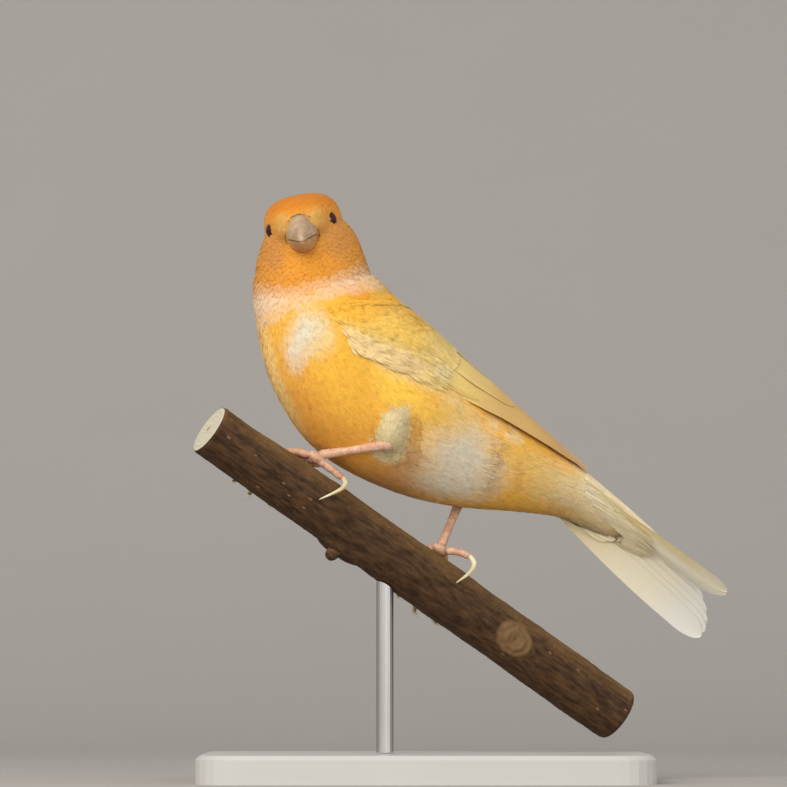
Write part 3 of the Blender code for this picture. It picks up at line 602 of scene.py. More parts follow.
class Trunk:
    """The smooth form of the head, neck and body that the frame's solids have."""

    def __init__(self) -> None:
        """Sets out the sections, their directions and the fused form."""
        rows = smooth_rows([astuple(section) for section in BODY], 10 * (len(BODY) - 1) + 1)
        self.sizes = rows[:, 3:6]
        self.centres = rows[:, :3]
        turn = math.radians(HEADING_DEG)
        to_left = vector(math.sin(turn), -math.cos(turn), 0.0)
        self.tangents, _, level = side_vectors(self.centres, to_left)
        upright = np.cross(-self.tangents, level)
        lean = np.radians(rows[:, 6])[:, None]
        self.left = np.cos(lean) * level + np.sin(lean) * upright
        self.back = np.cos(lean) * upright - np.sin(lean) * level
        steps = np.linalg.norm(np.diff(self.centres, axis=0), axis=1)
        self.run = np.concatenate([[0.0], np.cumsum(steps)])
        self.bend = float(np.interp(10 * BEND_SECTION, range(len(self.run)), self.run))
        side, back, belly = self.sizes.T
        body = tube(self.centres, self.left, self.back, side, back, belly, 48)
        skull_rows = smooth_rows(HEAD_SECTIONS, 26)
        middle = HEAD_CENTRE + skull_rows[:, [0, 4]] @ HEAD_AXES[:2]
        skull = tube(middle, *HEAD_AXES[1:], *skull_rows[:, 1:4].T, 40, HEAD_SQUARENESS)
        self.parts = [body, skull]
        self.form = fused(self.parts, 0.7, 12)
        self.tree = BVHTree.FromPolygons(self.form.points.tolist(), self.form.faces)

    def at(self, index: float, values: Array) -> Array:
        """values read at a row number between two rows."""
        low = int(np.clip(math.floor(index), 0, len(values) - 2))
        return values[low] + (values[low + 1] - values[low]) * (index - low)

    def place(self, index: float, angle_deg: float, hand: float) -> tuple[Array, Array]:
        """A point on the form and the way outwards, by row number and degrees up from that side."""
        angle = math.radians(angle_deg)
        side, back, belly = self.at(index, self.sizes)
        reach = back if angle > 0 else belly
        across = math.cos(angle) * side * hand * self.at(index, self.left)
        out = unit(across + math.sin(angle) * reach * self.at(index, self.back))
        start = self.at(index, self.centres) + 40.0 * out
        return np.array(self.tree.ray_cast(Vector(start), Vector(-out))[0]), out

    def row_at(self, distance: float) -> float:
        """The row number that far along the body from the bend of the wing."""
        return float(np.interp(self.bend + distance, self.run, range(len(self.run))))

    def locate(self, points: Array) -> Places:
        """Where points lie on the bird.

        Args:
            points: One row each.

        Returns:
            Their places along the body, round it and in the head.
        """
        fine = np.linspace(0, len(self.run) - 1, 4 * len(self.run))
        whole = np.minimum(fine.astype(int), len(self.run) - 2)
        share = (fine - whole)[:, None]

        def between(values: Array) -> Array:
            """values at the finer rows."""
            return values[whole] + (values[whole + 1] - values[whole]) * share

        centres = between(self.centres)
        nearest = np.empty(len(points), int)
        for start in range(0, len(points), 8000):
            part = points[start : start + 8000]
            gaps = (centres**2).sum(1) - 2 * part @ centres.T
            nearest[start : start + 8000] = gaps.argmin(1)
        offset = points - centres[nearest]
        aside = (offset * between(self.left)[nearest]).sum(1)
        aloft = (offset * between(self.back)[nearest]).sum(1)
        sizes = between(self.sizes)[nearest]
        reach = np.where(aloft > 0, sizes[:, 1], sizes[:, 2])
        turn = np.degrees(np.arctan2(aloft / reach, aside / sizes[:, 0]))
        along = between(self.run[:, None])[nearest, 0]
        return Places(points, along, turn, (points - HEAD_CENTRE) @ HEAD_AXES.T)

    def lie(self, points: Array, normals: Array) -> Array:
        """The direction in which feathers lie.

        Args:
            points: Where they grow.
            normals: The way out of the surface there.

        Returns:
            A unit direction along the surface for each.
        """
        rows = self.locate(points)
        index = np.interp(rows.along, self.run, range(len(self.run)))
        down_body = self.tangents[index.round().astype(int)]
        back = np.clip(1 - rows.along / 24.0, 0, 1)[:, None] * ramp(rows.head[:, 0], 2, -10)[:, None]
        from_bill = unit(points - in_head(*BILL_ROOT))
        share = ramp(rows.from_bill, 26.0, 9.0)[:, None]
        way = unit(from_bill * share + down_body * (1 - share) + vector(0, 0, -0.4) * back)
        tail = ramp(rows.along, 92.0, 112.0)[:, None]
        way = unit(way * (1 - tail) + TAIL_WAY * tail)
        for leg in LEGS:
            along, gap = leg.beside(points, 1.1)
            near = (ramp(gap, 6.5, 4.6) * ramp(along, 0.25, 0.5))[:, None]
            way = unit(way * (1 - near) + unit(vector(*leg.heel) - vector(*leg.knee)) * near)
        return unit(way - (way * normals).sum(1)[:, None] * normals)


def on_thigh(rows: Places, leg: Leg) -> Array:
    """Which places lie on that leg's thigh, clear of the body."""
    along, gap = leg.beside(rows.points, 1.2)
    return (along > 0.35) & (gap < 6.0)


@dataclass(frozen=True)
class Patch:
    """A soft patch of colour on the plumage, by place along the body and round it."""

    colour: str
    along: float
    turn: float
    half_along: float
    half_turn: float
    edge: float = 0.6
    strength: float = 1.0
    slant: float = 0.0
    both_sides: bool = True


class Markings:
    """The canary's colours: an orange head, a pale collar, and orange, gold and cream below it, with some painted
    shade, painted shadow and a painted highlight among them.
    """

    GROUND = "#EDB044"
    PATCHES = (
        Patch("#E29C3A", 45.0, -90.0, 17.0, 56.0),
        Patch("#EBB03A", 37.0, -45.0, 10.0, 26.0, strength=0.9),
        Patch("#F9C549", 47.0, -19.0, 9.0, 13.0),
        # Painted shade: golden brown under the belly, behind and below the left thigh.
        Patch("#C48C52", 61.0, -72.0, 8.0, 28.0, strength=0.8),
        Patch("#EFCF8C", 44.5, -12.0, 3.0, 19.0, strength=0.9, slant=0.71),
        Patch("#E4CC9A", 62.0, -3.0, 7.0, 14.0, strength=0.75),
        Patch("#D3C6AC", 70.0, -42.0, 10.5, 44.0, edge=0.5, slant=-0.05),
        Patch("#E0B04A", 60.5, -12.0, 5.2, 17.0, edge=0.5, slant=0.12, strength=0.9),
        Patch("#DCAF58", 89.0, -20.0, 9.0, 42.0, edge=0.14, slant=-0.05),
        Patch("#D6B983", 99.0, -30.0, 9.0, 48.0, edge=0.5),
        Patch("#E8A238", 90.0, 13.0, 5.0, 9.0, edge=0.4),
        # Painted highlight: a pale streak on the flank feathers' edges where they lap over the wing.
        Patch("#E8DCC0", 77.0, 10.0, 2.5, 9.0, edge=0.5, strength=0.8),
        # Painted shadow: a thin brown-orange strip just past the ends of the fluffed belly feathers.
        Patch("#B0702E", 82.0, -34.0, 1.3, 22.0, edge=0.8, slant=-0.05, strength=0.6),
        Patch("#DDB25C", 34.0, 50.0, 16.0, 32.0, strength=0.8),
        Patch("#DDB765", 62.0, 70.0, 26.0, 50.0, strength=0.8),
        Patch("#DCC79C", 112.0, 0.0, 14.0, 180.0, edge=0.7),
        Patch("#DCC79A", 27.2, -52.0, 4.5, 15.0, edge=0.45, both_sides=False),
        Patch("#D6CAB2", 27.6, -68.0, 3.3, 20.0, edge=0.4, slant=-0.12, both_sides=False),
        Patch("#E2D3B2", 28.6, -140.0, 4.6, 19.0, edge=0.5, both_sides=False),
        Patch("#F4C676", 32.0, -107.0, 11.0, 13.0, edge=0.5, both_sides=False),
        Patch("#F3B540", 28.0, -24.0, 3.0, 9.0, edge=0.6),
        Patch("#EC9C2A", 25.6, -7.0, 3.0, 20.0, edge=0.45),
    )
    HEAD = "#D9913A"
    CROWN = "#CA7A24"
    # CHEEK is partly the cheeks' own orange and partly painted shade: both cheeks take the darker tone of the
    # cheek that lies in shade.
    CHEEK = "#C68642"
    LORE = "#CC9A50"
    # Painted shadow at the corners of the mouth.
    GAPE_SHADOW = "#9A6E36"
    THROAT = "#DD9235"
    COLLAR = "#EAC6A4"
    TIP = "#F2DDB4"
    THIGH = "#D3BF90"
    SHADE = "#A9743A"
    # The collar's upper and lower edges: how far to the left, and how far up, in the head's axes
    COLLAR_TOP = ((-12.0, -7.0, -2.0, 4.0, 12.0), (-12.6, -14.6, -15.2, -14.2, -12.4))
    COLLAR_FOOT = ((-14.0, -9.0, -4.0, 1.0, 5.0, 14.0), (-20.0, -18.8, -17.3, -16.5, -16.8, -16.0))

    def colour(self, rows: Places) -> Array:
        """The plumage's colour at each place but for the thighs, as linear RGB.

        Args:
            rows: The places.

        Returns:
            One colour each.
        """
        blotch = noise(rows.points, 3.2, 1) * 0.18 + noise(rows.points, 1.3, 2) * 0.08
        colours = np.tile(linear(self.GROUND), (len(rows.points), 1))
        for patch in self.PATCHES:
            turns = (rows.turn, 180.0 - rows.turn) if patch.both_sides else (rows.turn,)
            gap = np.full(len(rows.points), 1e9)
            for turn in turns:
                round_body = (turn - patch.turn + 180.0) % 360.0 - 180.0
                along = rows.along - patch.along - patch.slant * round_body
                gap = np.minimum(gap, np.hypot(along / patch.half_along, round_body / patch.half_turn))
            share = ramp(gap + blotch, 1 + patch.edge / 2, 1 - patch.edge) * patch.strength
            colours = blended(colours, (patch.colour, share))
        forward, left, up = rows.head.T
        aside = np.abs(left)
        above = up + 0.35 * noise(rows.points, 1.6, 3) + 0.25 * noise(rows.points, 0.7, 4)
        head_here = ramp(above - np.interp(left, *self.COLLAR_TOP), -0.7, 0.8)
        band = ramp(above - np.interp(left, *self.COLLAR_FOOT), -0.6, 0.5)
        colours = blended(colours, (self.COLLAR, band * 0.95))
        lore = ramp(np.hypot((up - 0.5) / 2.5, (aside - 3.7) / 2.1), 1.4, 0.5) * ramp(forward, 3, 6)
        # Painted shadow at the corners of the mouth, by the bill's root.
        gape_shadow = ramp(np.hypot((up + 2.4) / 1.3, (aside - 4.3) / 1.2), 1.3, 0.4) * ramp(forward, 4, 6)
        face = blended(
            np.tile(linear(self.HEAD), (len(forward), 1)),
            (self.CROWN, ramp(up, 1.0, 5.0)),
            (self.THROAT, ramp(up, -5.0, -9.5) * ramp(aside, 9.0, 4.0)),
            (self.CHEEK, ramp(np.hypot((up + 4.0) / 5.5, (aside - 7.5) / 3.5), 1.3, 0.5)),
            (self.LORE, lore),
            (self.GAPE_SHADOW, 0.6 * gape_shadow),
        )
        return colours + (face - colours) * head_here[:, None]

    def with_thighs(self, colours: Array, rows: Places) -> Array:
        """The colours with the thighs' own pale one, and a shadow behind the left thigh.

        Args:
            colours: One for each place.
            rows: The places.

        Returns:
            The new colours.
        """
        offset = (rows.points - THIGH_MIDDLE) / THIGH_BULGE
        gap = np.linalg.norm(offset, axis=1)
        below = ramp(offset @ unit(vector(0.8, 0.0, -0.6)), 0.2, 0.9)
        return blended(
            colours,
            (self.SHADE, 0.6 * ramp(gap, 1.7, 1.3) * below),
            (self.THIGH, ramp(gap, 1.4, 1.1)),
            (self.THIGH, on_thigh(rows, LEGS[1]).astype(float)),
        )


@dataclass
class Tufts:
    """Many small feathers, each a fan of thin closed strands."""

    roots: Array
    middles: Array
    tips: Array
    normals: Array
    half_widths: Array
    colours: Array
    bake: Array
    strands: int = 9
    strand_width: float = 0.30
    seed: int = 0
    tip_share: float = 0.05

    UNEVEN = 0.2
    FLATNESS = 0.12
    PATCH = 0.003
    # At a strand's root, middle and tip: the share of its length, of the tip's colour and of the light
    STEPS = ((0.0, 0.0, 0.97), (0.55, 0.35, 1.0), (1.0, 1.0, 1.0))
    TRIANGLES = (
        (0, 2, 1), (0, 1, 4), (0, 4, 3), (1, 2, 5), (1, 5, 4),
        (2, 0, 3), (2, 3, 5), (3, 4, 6), (4, 5, 6), (5, 3, 6),
    )

    def mesh(self) -> Mesh:
        """Every strand's three sides from its root to its point, in one mesh."""
        random = np.random.default_rng(self.seed)
        count, fan = len(self.roots), self.strands
        place = np.linspace(-1, 1, fan)[None] + random.uniform(-0.10, 0.10, (count, fan))
        length = 1 - 0.30 * place**2 + random.uniform(-self.UNEVEN, 0.08, (count, fan))
        lift = random.uniform(-0.04, 0.04, (count, fan)) * self.strand_width * 3
        way = unit(self.tips - self.roots)
        sides = unit(np.cross(self.normals, way))
        rows = []
        for step, spread, width in ((0.0, 0.5, 0.7), (0.55, 0.95, 1.0), (1.0, 1.0, 0.0)):
            t = (step * length)[..., None]
            line = (
                self.roots[:, None] * ((1 - t) * (1 - 2 * t))
                + self.middles[:, None] * (4 * t * (1 - t))
                + self.tips[:, None] * (t * (2 * t - 1))
            )
            out = place * self.half_widths[:, None] * spread
            line = line + sides[:, None] * out[..., None]
            line = line + self.normals[:, None] * (lift * step - 0.12 * place**2 * step)[..., None]
            half = 0.5 * self.strand_width * width
            if width:
                rows += [line - sides[:, None] * half, line + sides[:, None] * half]
                rows.append(line + self.normals[:, None] * (self.FLATNESS * half))
            else:
                rows.append(line)
        points = np.stack(rows, axis=2).reshape(-1, 3)
        faces = (np.arange(count * fan)[:, None, None] * 7 + np.array(self.TRIANGLES)).reshape(-1, 3)
        shade = random.normal(1.0, 0.02, (count, 1)) * random.normal(1.0, 0.02, (count, fan))
        colours = self.colours[:, None] * shade[..., None]
        along, tip, shade = np.repeat(self.STEPS, (3, 3, 1), axis=0).T
        pale = linear(Markings.TIP) * random.normal(1.0, 0.03, (count, fan, 1))
        mix = (tip * self.tip_share)[:, None]
        colours = colours[:, :, None] * (1 - mix) * shade[:, None] + pale[:, :, None] * mix
        patch = np.stack(np.broadcast_arrays(along, 0.5 + 0.5 * place[..., None]), axis=3)
        bake = self.bake[:, None, None] + (patch - 0.5) * self.PATCH
        tilt = self.normals[:, None] + sides[:, None] * (0.1 * place)[..., None]
        tilt = tilt + random.normal(0, 0.03, (count, fan, 3))
        normals = np.repeat(unit(tilt).reshape(-1, 3), 7, axis=0)
        return Mesh(points, faces, colours.reshape(-1, 3), bake.reshape(-1, 2), normals=normals)


def thinned(points: Array, least: Array, cell: float) -> Array:
    """Which points to keep so that no two are too near.

    Args:
        points: Places in the plane or in space.
        least: Each one's least distance from those kept before it, or a negative number to drop it.
        cell: The size of the search grid's cells, no less than the largest distance.

    Returns:
        The numbers of the points that are kept.
    """
    steps = list(itertools.product((-1, 0, 1), repeat=points.shape[1]))
    kept, grid = [], {}
    for i, key in enumerate(np.floor(points / cell).astype(int).tolist()):
        if least[i] < 0:
            continue
        near = [j for step in steps for j in grid.get(tuple(k + s for k, s in zip(key, step)), ())]
        if near and ((points[near] - points[i]) ** 2).sum(1).min() < least[i] ** 2:
            continue
        kept.append(i)
        grid.setdefault(tuple(key), []).append(i)
    return np.array(kept)


class Flesh:
    """The head, body and thighs as one form, its skin, and the coat that grows on it."""

    def __init__(self, trunk: Trunk, markings: Markings) -> None:
        """Fuses the trunk and the thighs, and finds the ways out of the form."""
        self.trunk = trunk
        self.markings = markings
        self.form = fused([*trunk.parts, *(form for leg in LEGS for form in thigh(leg))], 0.6, 6)
        data = bpy.data.meshes.new("flesh")
        data.from_pydata(self.form.points.tolist(), [], self.form.faces)
        data.update()
        self.normals = np.empty(len(self.form.points) * 3)
        data.vertices.foreach_get("normal", self.normals)
        self.normals = self.normals.reshape(-1, 3)
        bpy.data.meshes.remove(data)
        self.tree = BVHTree.FromPolygons(self.form.points.tolist(), self.form.faces)
        quads = np.array([face for face in self.form.faces if len(face) == 4])
        self.triangles = np.vstack([quads[:, [0, 1, 2]], quads[:, [0, 2, 3]]])

    def depth(self, rows: Places) -> Array:
        """How deep the skin lies under the coat."""
        depth = np.interp(rows.from_bill, (3.0, 8.0, 16.0, 30.0), (0.12, 0.16, 0.22, 0.34))
        return np.minimum(depth, 0.2 + 0.25 * rows.from_eye / 2)

    def skin(self) -> Mesh:
        """The skin, sunk under the coat, with hollows for the eyes."""
        rows = self.trunk.locate(self.form.points)
        points = self.form.points - self.normals * self.depth(rows)[:, None]
        for hand in (1.0, -1.0):
            eye = in_head(*(EYE * vector(1, hand, 1)))
            offset = points - eye
            gap = np.linalg.norm(offset, axis=1)
            inside = gap < EYE_RADIUS + 0.12
            points[inside] -= (offset * self.normals).sum(1)[inside, None] * self.normals[inside]
            points[inside] -= self.normals[inside] * 0.6
        colours = self.markings.with_thighs(self.markings.colour(rows), rows)
        return Mesh(points, self.form.faces, colours * 0.97)

    def project(self, points: Array) -> Array:
        """The nearest points of the form."""
        return np.array([self.tree.find_nearest(Vector(p))[0] for p in points])

    def smooth_normals(self, points: Array) -> Array:
        """The form's smoothed outward direction at points on it."""
        found = [self.tree.find_nearest(Vector(p))[2] for p in points]
        corners = [self.form.faces[i] for i in found]
        return unit(np.array([self.normals[list(c)].mean(0) for c in corners]))

    def roots(self, seed: int, tries: int, spacing: Callable[[Places], Array]) -> Places:
        """Evenly spread places on the form.

        Args:
            seed: The random draw's seed.
            tries: How many places are drawn before thinning.
            spacing: The least distance between kept places, or a negative number to keep none.

        Returns:
            The places that are kept.
        """
        random = np.random.default_rng(seed)
        a, b, c = (self.form.points[self.triangles[:, i]] for i in range(3))
        area = np.linalg.norm(np.cross(b - a, c - a), axis=1)
        pick = random.choice(len(area), tries, p=area / area.sum())
        u, v = random.uniform(size=(2, tries))
        u, v = np.where(u + v > 1, 1 - u, u), np.where(u + v > 1, 1 - v, v)
        points = a[pick] + (b - a)[pick] * u[:, None] + (c - a)[pick] * v[:, None]
        rows = self.trunk.locate(points)
        return rows.pick(thinned(points, spacing(rows), 1.3))


@dataclass(frozen=True)
class CoatZone:
    """One piece of the coat, and the record's slot that it belongs to."""

    name: str
    slot: Slot
    holds: Callable[[Places], Array]


COAT_ZONES = (
    CoatZone("coat_thigh_left", Slot.THIGH, lambda rows: on_thigh(rows, LEGS[0])),
    CoatZone("coat_thigh_right", Slot.THIGH, lambda rows: on_thigh(rows, LEGS[1])),
    CoatZone("coat_face", Slot.HEAD, lambda rows: rows.from_bill < 9.5),
    CoatZone("coat_crown", Slot.HEAD, lambda rows: rows.head[:, 2] > -1.0),
    CoatZone("coat_head_left", Slot.HEAD, lambda rows: (rows.head[:, 2] > -13.5) & (rows.head[:, 1] > 0)),
    CoatZone("coat_head_right", Slot.HEAD, lambda rows: rows.head[:, 2] > -13.5),
    CoatZone("coat_collar", Slot.NECK, lambda rows: rows.head[:, 2] > -19.5),
    CoatZone("coat_back", Slot.BODY, lambda rows: (np.abs(rows.turn - 90) < 50) & (rows.along < 82)),
    CoatZone("coat_breast_left", Slot.BODY, lambda rows: (rows.along < 42) & (np.abs(rows.turn) < 90)),
    CoatZone("coat_breast_right", Slot.BODY, lambda rows: rows.along < 42),
    CoatZone("coat_belly_left", Slot.BODY, lambda rows: (rows.along < 62) & (np.abs(rows.turn) < 90)),
    CoatZone("coat_belly_right", Slot.BODY, lambda rows: rows.along < 62),
    CoatZone("coat_flank_left", Slot.BODY, lambda rows: (rows.along < 82) & (np.abs(rows.turn) < 90)),
    CoatZone("coat_flank_right", Slot.BODY, lambda rows: rows.along < 82),
    CoatZone("coat_rump", Slot.BODY, lambda rows: rows.turn > 0),
    CoatZone("coat_vent", Slot.BODY, lambda rows: rows.turn <= 0),
)


@dataclass
class Coat:
    """The contour feathers of the head and body."""

    flesh: Flesh
    markings: Markings

    SEED = 11
    TRIES = 70000
    LENGTHS = ((0, 5, 12, 22, 40, 80, 130), (0.9, 1.2, 2.2, 3.6, 5.2, 6.6, 7.0))
    # How far along the body the fluffed belly feathers end, over the shorter ones of the vent
    BRIM = 80.6

    def lengths(self, rows: Places) -> Array:
        """The feathers' lengths."""
        length = np.interp(rows.from_bill, *self.LENGTHS)
        for leg in LEGS:
            length = np.where(on_thigh(rows, leg), 2.8, length)
        clear = np.maximum(rows.from_eye - EYE_RADIUS + 0.05, 0.45)
        return np.where(rows.head[:, 0] > EYE[0] - 0.8, np.minimum(length, clear), length)

    def spacing(self, rows: Places) -> Array:
        """How far apart the feathers grow, or -1 where none do."""
        least = np.interp(rows.from_bill, (0, 6, 14, 26, 50), (0.42, 0.5, 0.66, 0.78, 0.88))
        covered = (rows.along > 38) & (rows.along < 86) & (rows.turn > 25) & (rows.turn < 155)
        least = np.where(covered, 1.25, least)
        for leg in LEGS:
            least = np.where(on_thigh(rows, leg), 0.62, least)
        forward, left, up = (rows.head - BILL_ROOT).T
        bill = (forward > -1.0) & (np.hypot(left / 3.0, (up - 0.5) / 3.8) < 1.0)
        return np.where(bill | (rows.from_eye < EYE_RADIUS + 0.42), -1.0, least)

    def chart(self, rows: Places) -> Array:
        """Each place on a flat unwrap of the skin: the head's part first, and then the body's."""
        face = np.arctan2(rows.head[:, 2], rows.head[:, 1])
        reach = np.clip(rows.from_bill / 34.0, 0, 1)
        head = np.column_stack([0.15 + 0.14 * reach * np.cos(face), 0.5 + 0.45 * reach * np.sin(face)])
        round_body = ((rows.turn + 90.0) % 360.0) / 360.0 * 0.98 + 0.01
        body = np.column_stack([0.32 + 0.66 * np.clip(rows.along / 122.0, 0, 1), round_body])
        on_head = (rows.head[:, 2] > -14.0)[:, None]
        return np.where(on_head, head, body)

    def tufts(self, rows: Places, seed: int) -> Tufts:
        """The feathers that grow at these places.

        Args:
            rows: Their roots.
            seed: The random draw's seed.

        Returns:
            The feathers, ready to be made.
        """
        random = np.random.default_rng(seed)
        count = len(rows.points)
        length = self.lengths(rows) * random.uniform(0.88, 1.12, count)
        depth = self.flesh.depth(rows)
        normals = self.flesh.smooth_normals(rows.points)
        way = self.flesh.trunk.lie(rows.points, normals)
        turn = random.normal(0, 0.10, count)[:, None]
        way = unit(way + np.cross(normals, way) * turn)
        middle = self.flesh.project(rows.points + way * (length / 2)[:, None])
        middle_normal = self.flesh.smooth_normals(middle)
        way_on = self.flesh.trunk.lie(middle, middle_normal)
        way_on = unit(way_on + np.cross(middle_normal, way_on) * turn)
        tip = self.flesh.project(middle + way_on * (length / 2)[:, None])
        tip_normal = self.flesh.smooth_normals(tip)
        puff = np.interp(length, (1.0, 4.0, 7.0), (0.0, 0.08, 0.16)) * random.uniform(-0.5, 1.0, count)
        roots = rows.points - normals * depth[:, None]
        middles = middle - middle_normal * (0.22 * depth)[:, None]
        end = rows.along + length + 0.05 * (rows.turn + 40.0)
        brim = np.exp(-(((end - self.BRIM) / 1.6) ** 2)) * ramp(np.abs(rows.turn + 32.0), 30.0, 20.0)
        tips = tip + tip_normal * (0.5 * puff - 0.05 + 0.75 * brim)[:, None]
        there = self.flesh.trunk.locate(tips)
        colours = self.markings.colour(rows) * 0.6 + self.markings.colour(there) * 0.4
        colours = self.markings.with_thighs(colours, rows)
        colours *= random.normal(1.0, 0.012, (count, 3))
        half = np.interp(length, (1.0, 3.0, 7.0), (0.42, 0.85, 1.45))
        normals = unit(normals + middle_normal + tip_normal)
        return Tufts(roots, middles, tips, normals, half, colours, self.chart(rows), seed=seed)

    def build(self, material: Material) -> None:
        """Makes the coat, zone by zone."""
        rows = self.flesh.roots(self.SEED, self.TRIES, self.spacing)
        rest = np.ones(len(rows.points), bool)
        for number, zone in enumerate(COAT_ZONES):
            here = rest & zone.holds(rows)
            rest &= ~here
            tufts = self.tufts(rows.pick(here), 100 + number)
            fine = zone.slot is Slot.HEAD
            tufts.strands, tufts.strand_width, tufts.tip_share = (7, 0.26, 0.0) if fine else (9, 0.37, 0.04)
            build(zone.name, tufts.mesh(), material, zone.slot)


@dataclass(frozen=True)
class VaneShape:
    """One flight or covert feather: how long, how wide and how its outline runs."""

    half_width: float
    rows: int = 26
    columns: int = 11
    root_share: float = 0.55
    widest: float = 0.6
    round_from: float = 0.84
    dome: float = 0.08
    thickness: float = 0.1
    shaft: float = 0.04
    tip_share: float = 0.12


def sheet_faces(rows: int, columns: int) -> Array:
    """The triangles of a thin closed sheet.

    Args:
        rows: How many rows of points each of its two sides has.
        columns: How many points in a row.

    Returns:
        The upper side's triangles, those of the lower side, whose points follow, and the rim's.
    """
    under = rows * columns
    quads = np.array(grid_faces(rows, columns, False))
    above = np.vstack([quads[:, [0, 1, 2]], quads[:, [0, 2, 3]]])
    grid = np.arange(under).reshape(rows, columns)
    rim = np.concatenate([grid[0], grid[1:, -1], grid[-1, -2::-1], grid[-2:0:-1, 0]])
    after = np.roll(rim, -1)
    first = np.column_stack([rim, under + rim, under + after])
    second = np.column_stack([rim, under + after, after])
    return np.vstack([above, above[:, ::-1] + under, first, second])


def vane(lay: Lay, shape: VaneShape, length: float, seed: int) -> tuple[Array, Array, Array, Array]:
    """One feather's blade as a thin closed mesh.

    Args:
        lay: Gives points from the share of the length, millimetres across and the lift.
        shape: The feather's outline.
        length: Its length.
        seed: The random draw's seed.

    Returns:
        Its points, its triangles, the ways out, and for each point the millimetres along and across.
    """
    random = np.random.default_rng(seed)
    t = 1 - (1 - np.linspace(0, 1, shape.rows)) ** 1.25
    rise = np.sin(0.5 * math.pi * np.minimum(t / shape.widest, 1.0))
    wide = shape.root_share + (1 - shape.root_share) * rise
    wide = wide * (1 - 0.12 * ramp(t, shape.widest, 1.0))
    end = np.clip((t - shape.round_from) / (1 - shape.round_from), 0, 1)
    wide = wide * np.maximum(np.sqrt(1 - end**2), shape.tip_share)
    half = shape.half_width * wide
    place = np.linspace(-1, 1, shape.columns)
    ragged = 1 + random.normal(0, 0.018, (shape.rows, 2)).cumsum(0) * 0.25
    across = place[None] * half[:, None]
    across = np.where(place[None] < 0, across * ragged[:, :1], across * ragged[:, 1:])
    along = np.broadcast_to(t[:, None], across.shape)
    shaft = shape.shaft * np.exp(-((across / 0.22) ** 2)) * (1 - 0.75 * along)
    top = shape.dome * (1 - place[None] ** 2) + shaft
    thin = shape.thickness * (1 - 0.45 * np.abs(place[None])) * (1 - 0.35 * along)
    flat = along.ravel(), across.ravel()
    points = np.vstack([lay(*flat, top.ravel()), lay(*flat, (top - thin).ravel())])
    rows, columns = across.shape
    under = rows * columns
    faces = sheet_faces(rows, columns)
    a, b, c = points[faces[0]]
    if np.cross(b - a, c - a) @ (points[0] - points[under]) < 0:
        faces = faces[:, ::-1]
    spread = np.column_stack([along.ravel() * length, across.ravel()])
    grid = points[:under].reshape(rows, columns, 3)
    out = unit(np.cross(np.gradient(grid, axis=0), np.gradient(grid, axis=1))).reshape(-1, 3)
    if (out * (points[:under] - points[under:])).sum() < 0:
        out = -out
    return points, faces, np.vstack([out, -out]), np.vstack([spread, spread])


class Side(Enum):
    """Which wing."""

    LEFT = 1.0
    RIGHT = -1.0


# Where the folded wing's two edges lie round the body, in degrees up from its side, by distance
# from the bend of the wing
WING_STEPS = (-5.0, 0.0, 5.0, 11.0, 18.0, 27.0, 38.0, 53.0, 62.0, 72.0)
WING_LOW_DEG = {
    Side.LEFT: (-42.0, -35.0, -26.0, -15.0, -3.0, 6.0, 13.0, 23.0, 29.0, 33.0),
    Side.RIGHT: (-30.0, -26.0, -20.0, -12.0, -3.0, 6.0, 13.0, 23.0, 29.0, 33.0),
}
WING_HIGH_DEG = (-10.0, 22.0, 38.0, 52.0, 63.0, 71.0, 78.0, 82.0, 80.0, 68.0)


@dataclass(frozen=True)
class Tier:
    """A row of wing feathers: how many, where its first and last start and end, and how deep.

    Each place is the distance along the wing, and the share of its height from the lower edge.
    """

    count: int
    first: tuple[float, float]
    last: tuple[float, float]
    first_end: tuple[float, float]
    last_end: tuple[float, float]
    half_width: float
    sink: float
    bow: float = 0.0
    round_from: float = 0.84


# The primaries, secondaries, tertials and greater coverts
WING_TIERS = (
    Tier(9, (24.0, 0.44), (22.0, 0.12), (53.0, 0.66), (72.0, 0.16), 2.5, 0.55, round_from=0.8),
    Tier(7, (19.0, 0.80), (19.0, 0.36), (46.0, 0.84), (49.5, 0.42), 2.9, 0.3),
    Tier(3, (13.0, 0.90), (13.0, 0.80), (32.0, 0.90), (42.0, 0.80), 3.2, 0.1),
    Tier(10, (8.0, 0.86), (8.0, 0.14), (24.0, 0.88), (26.5, 0.12), 2.2, 0.1, bow=3.0),
)


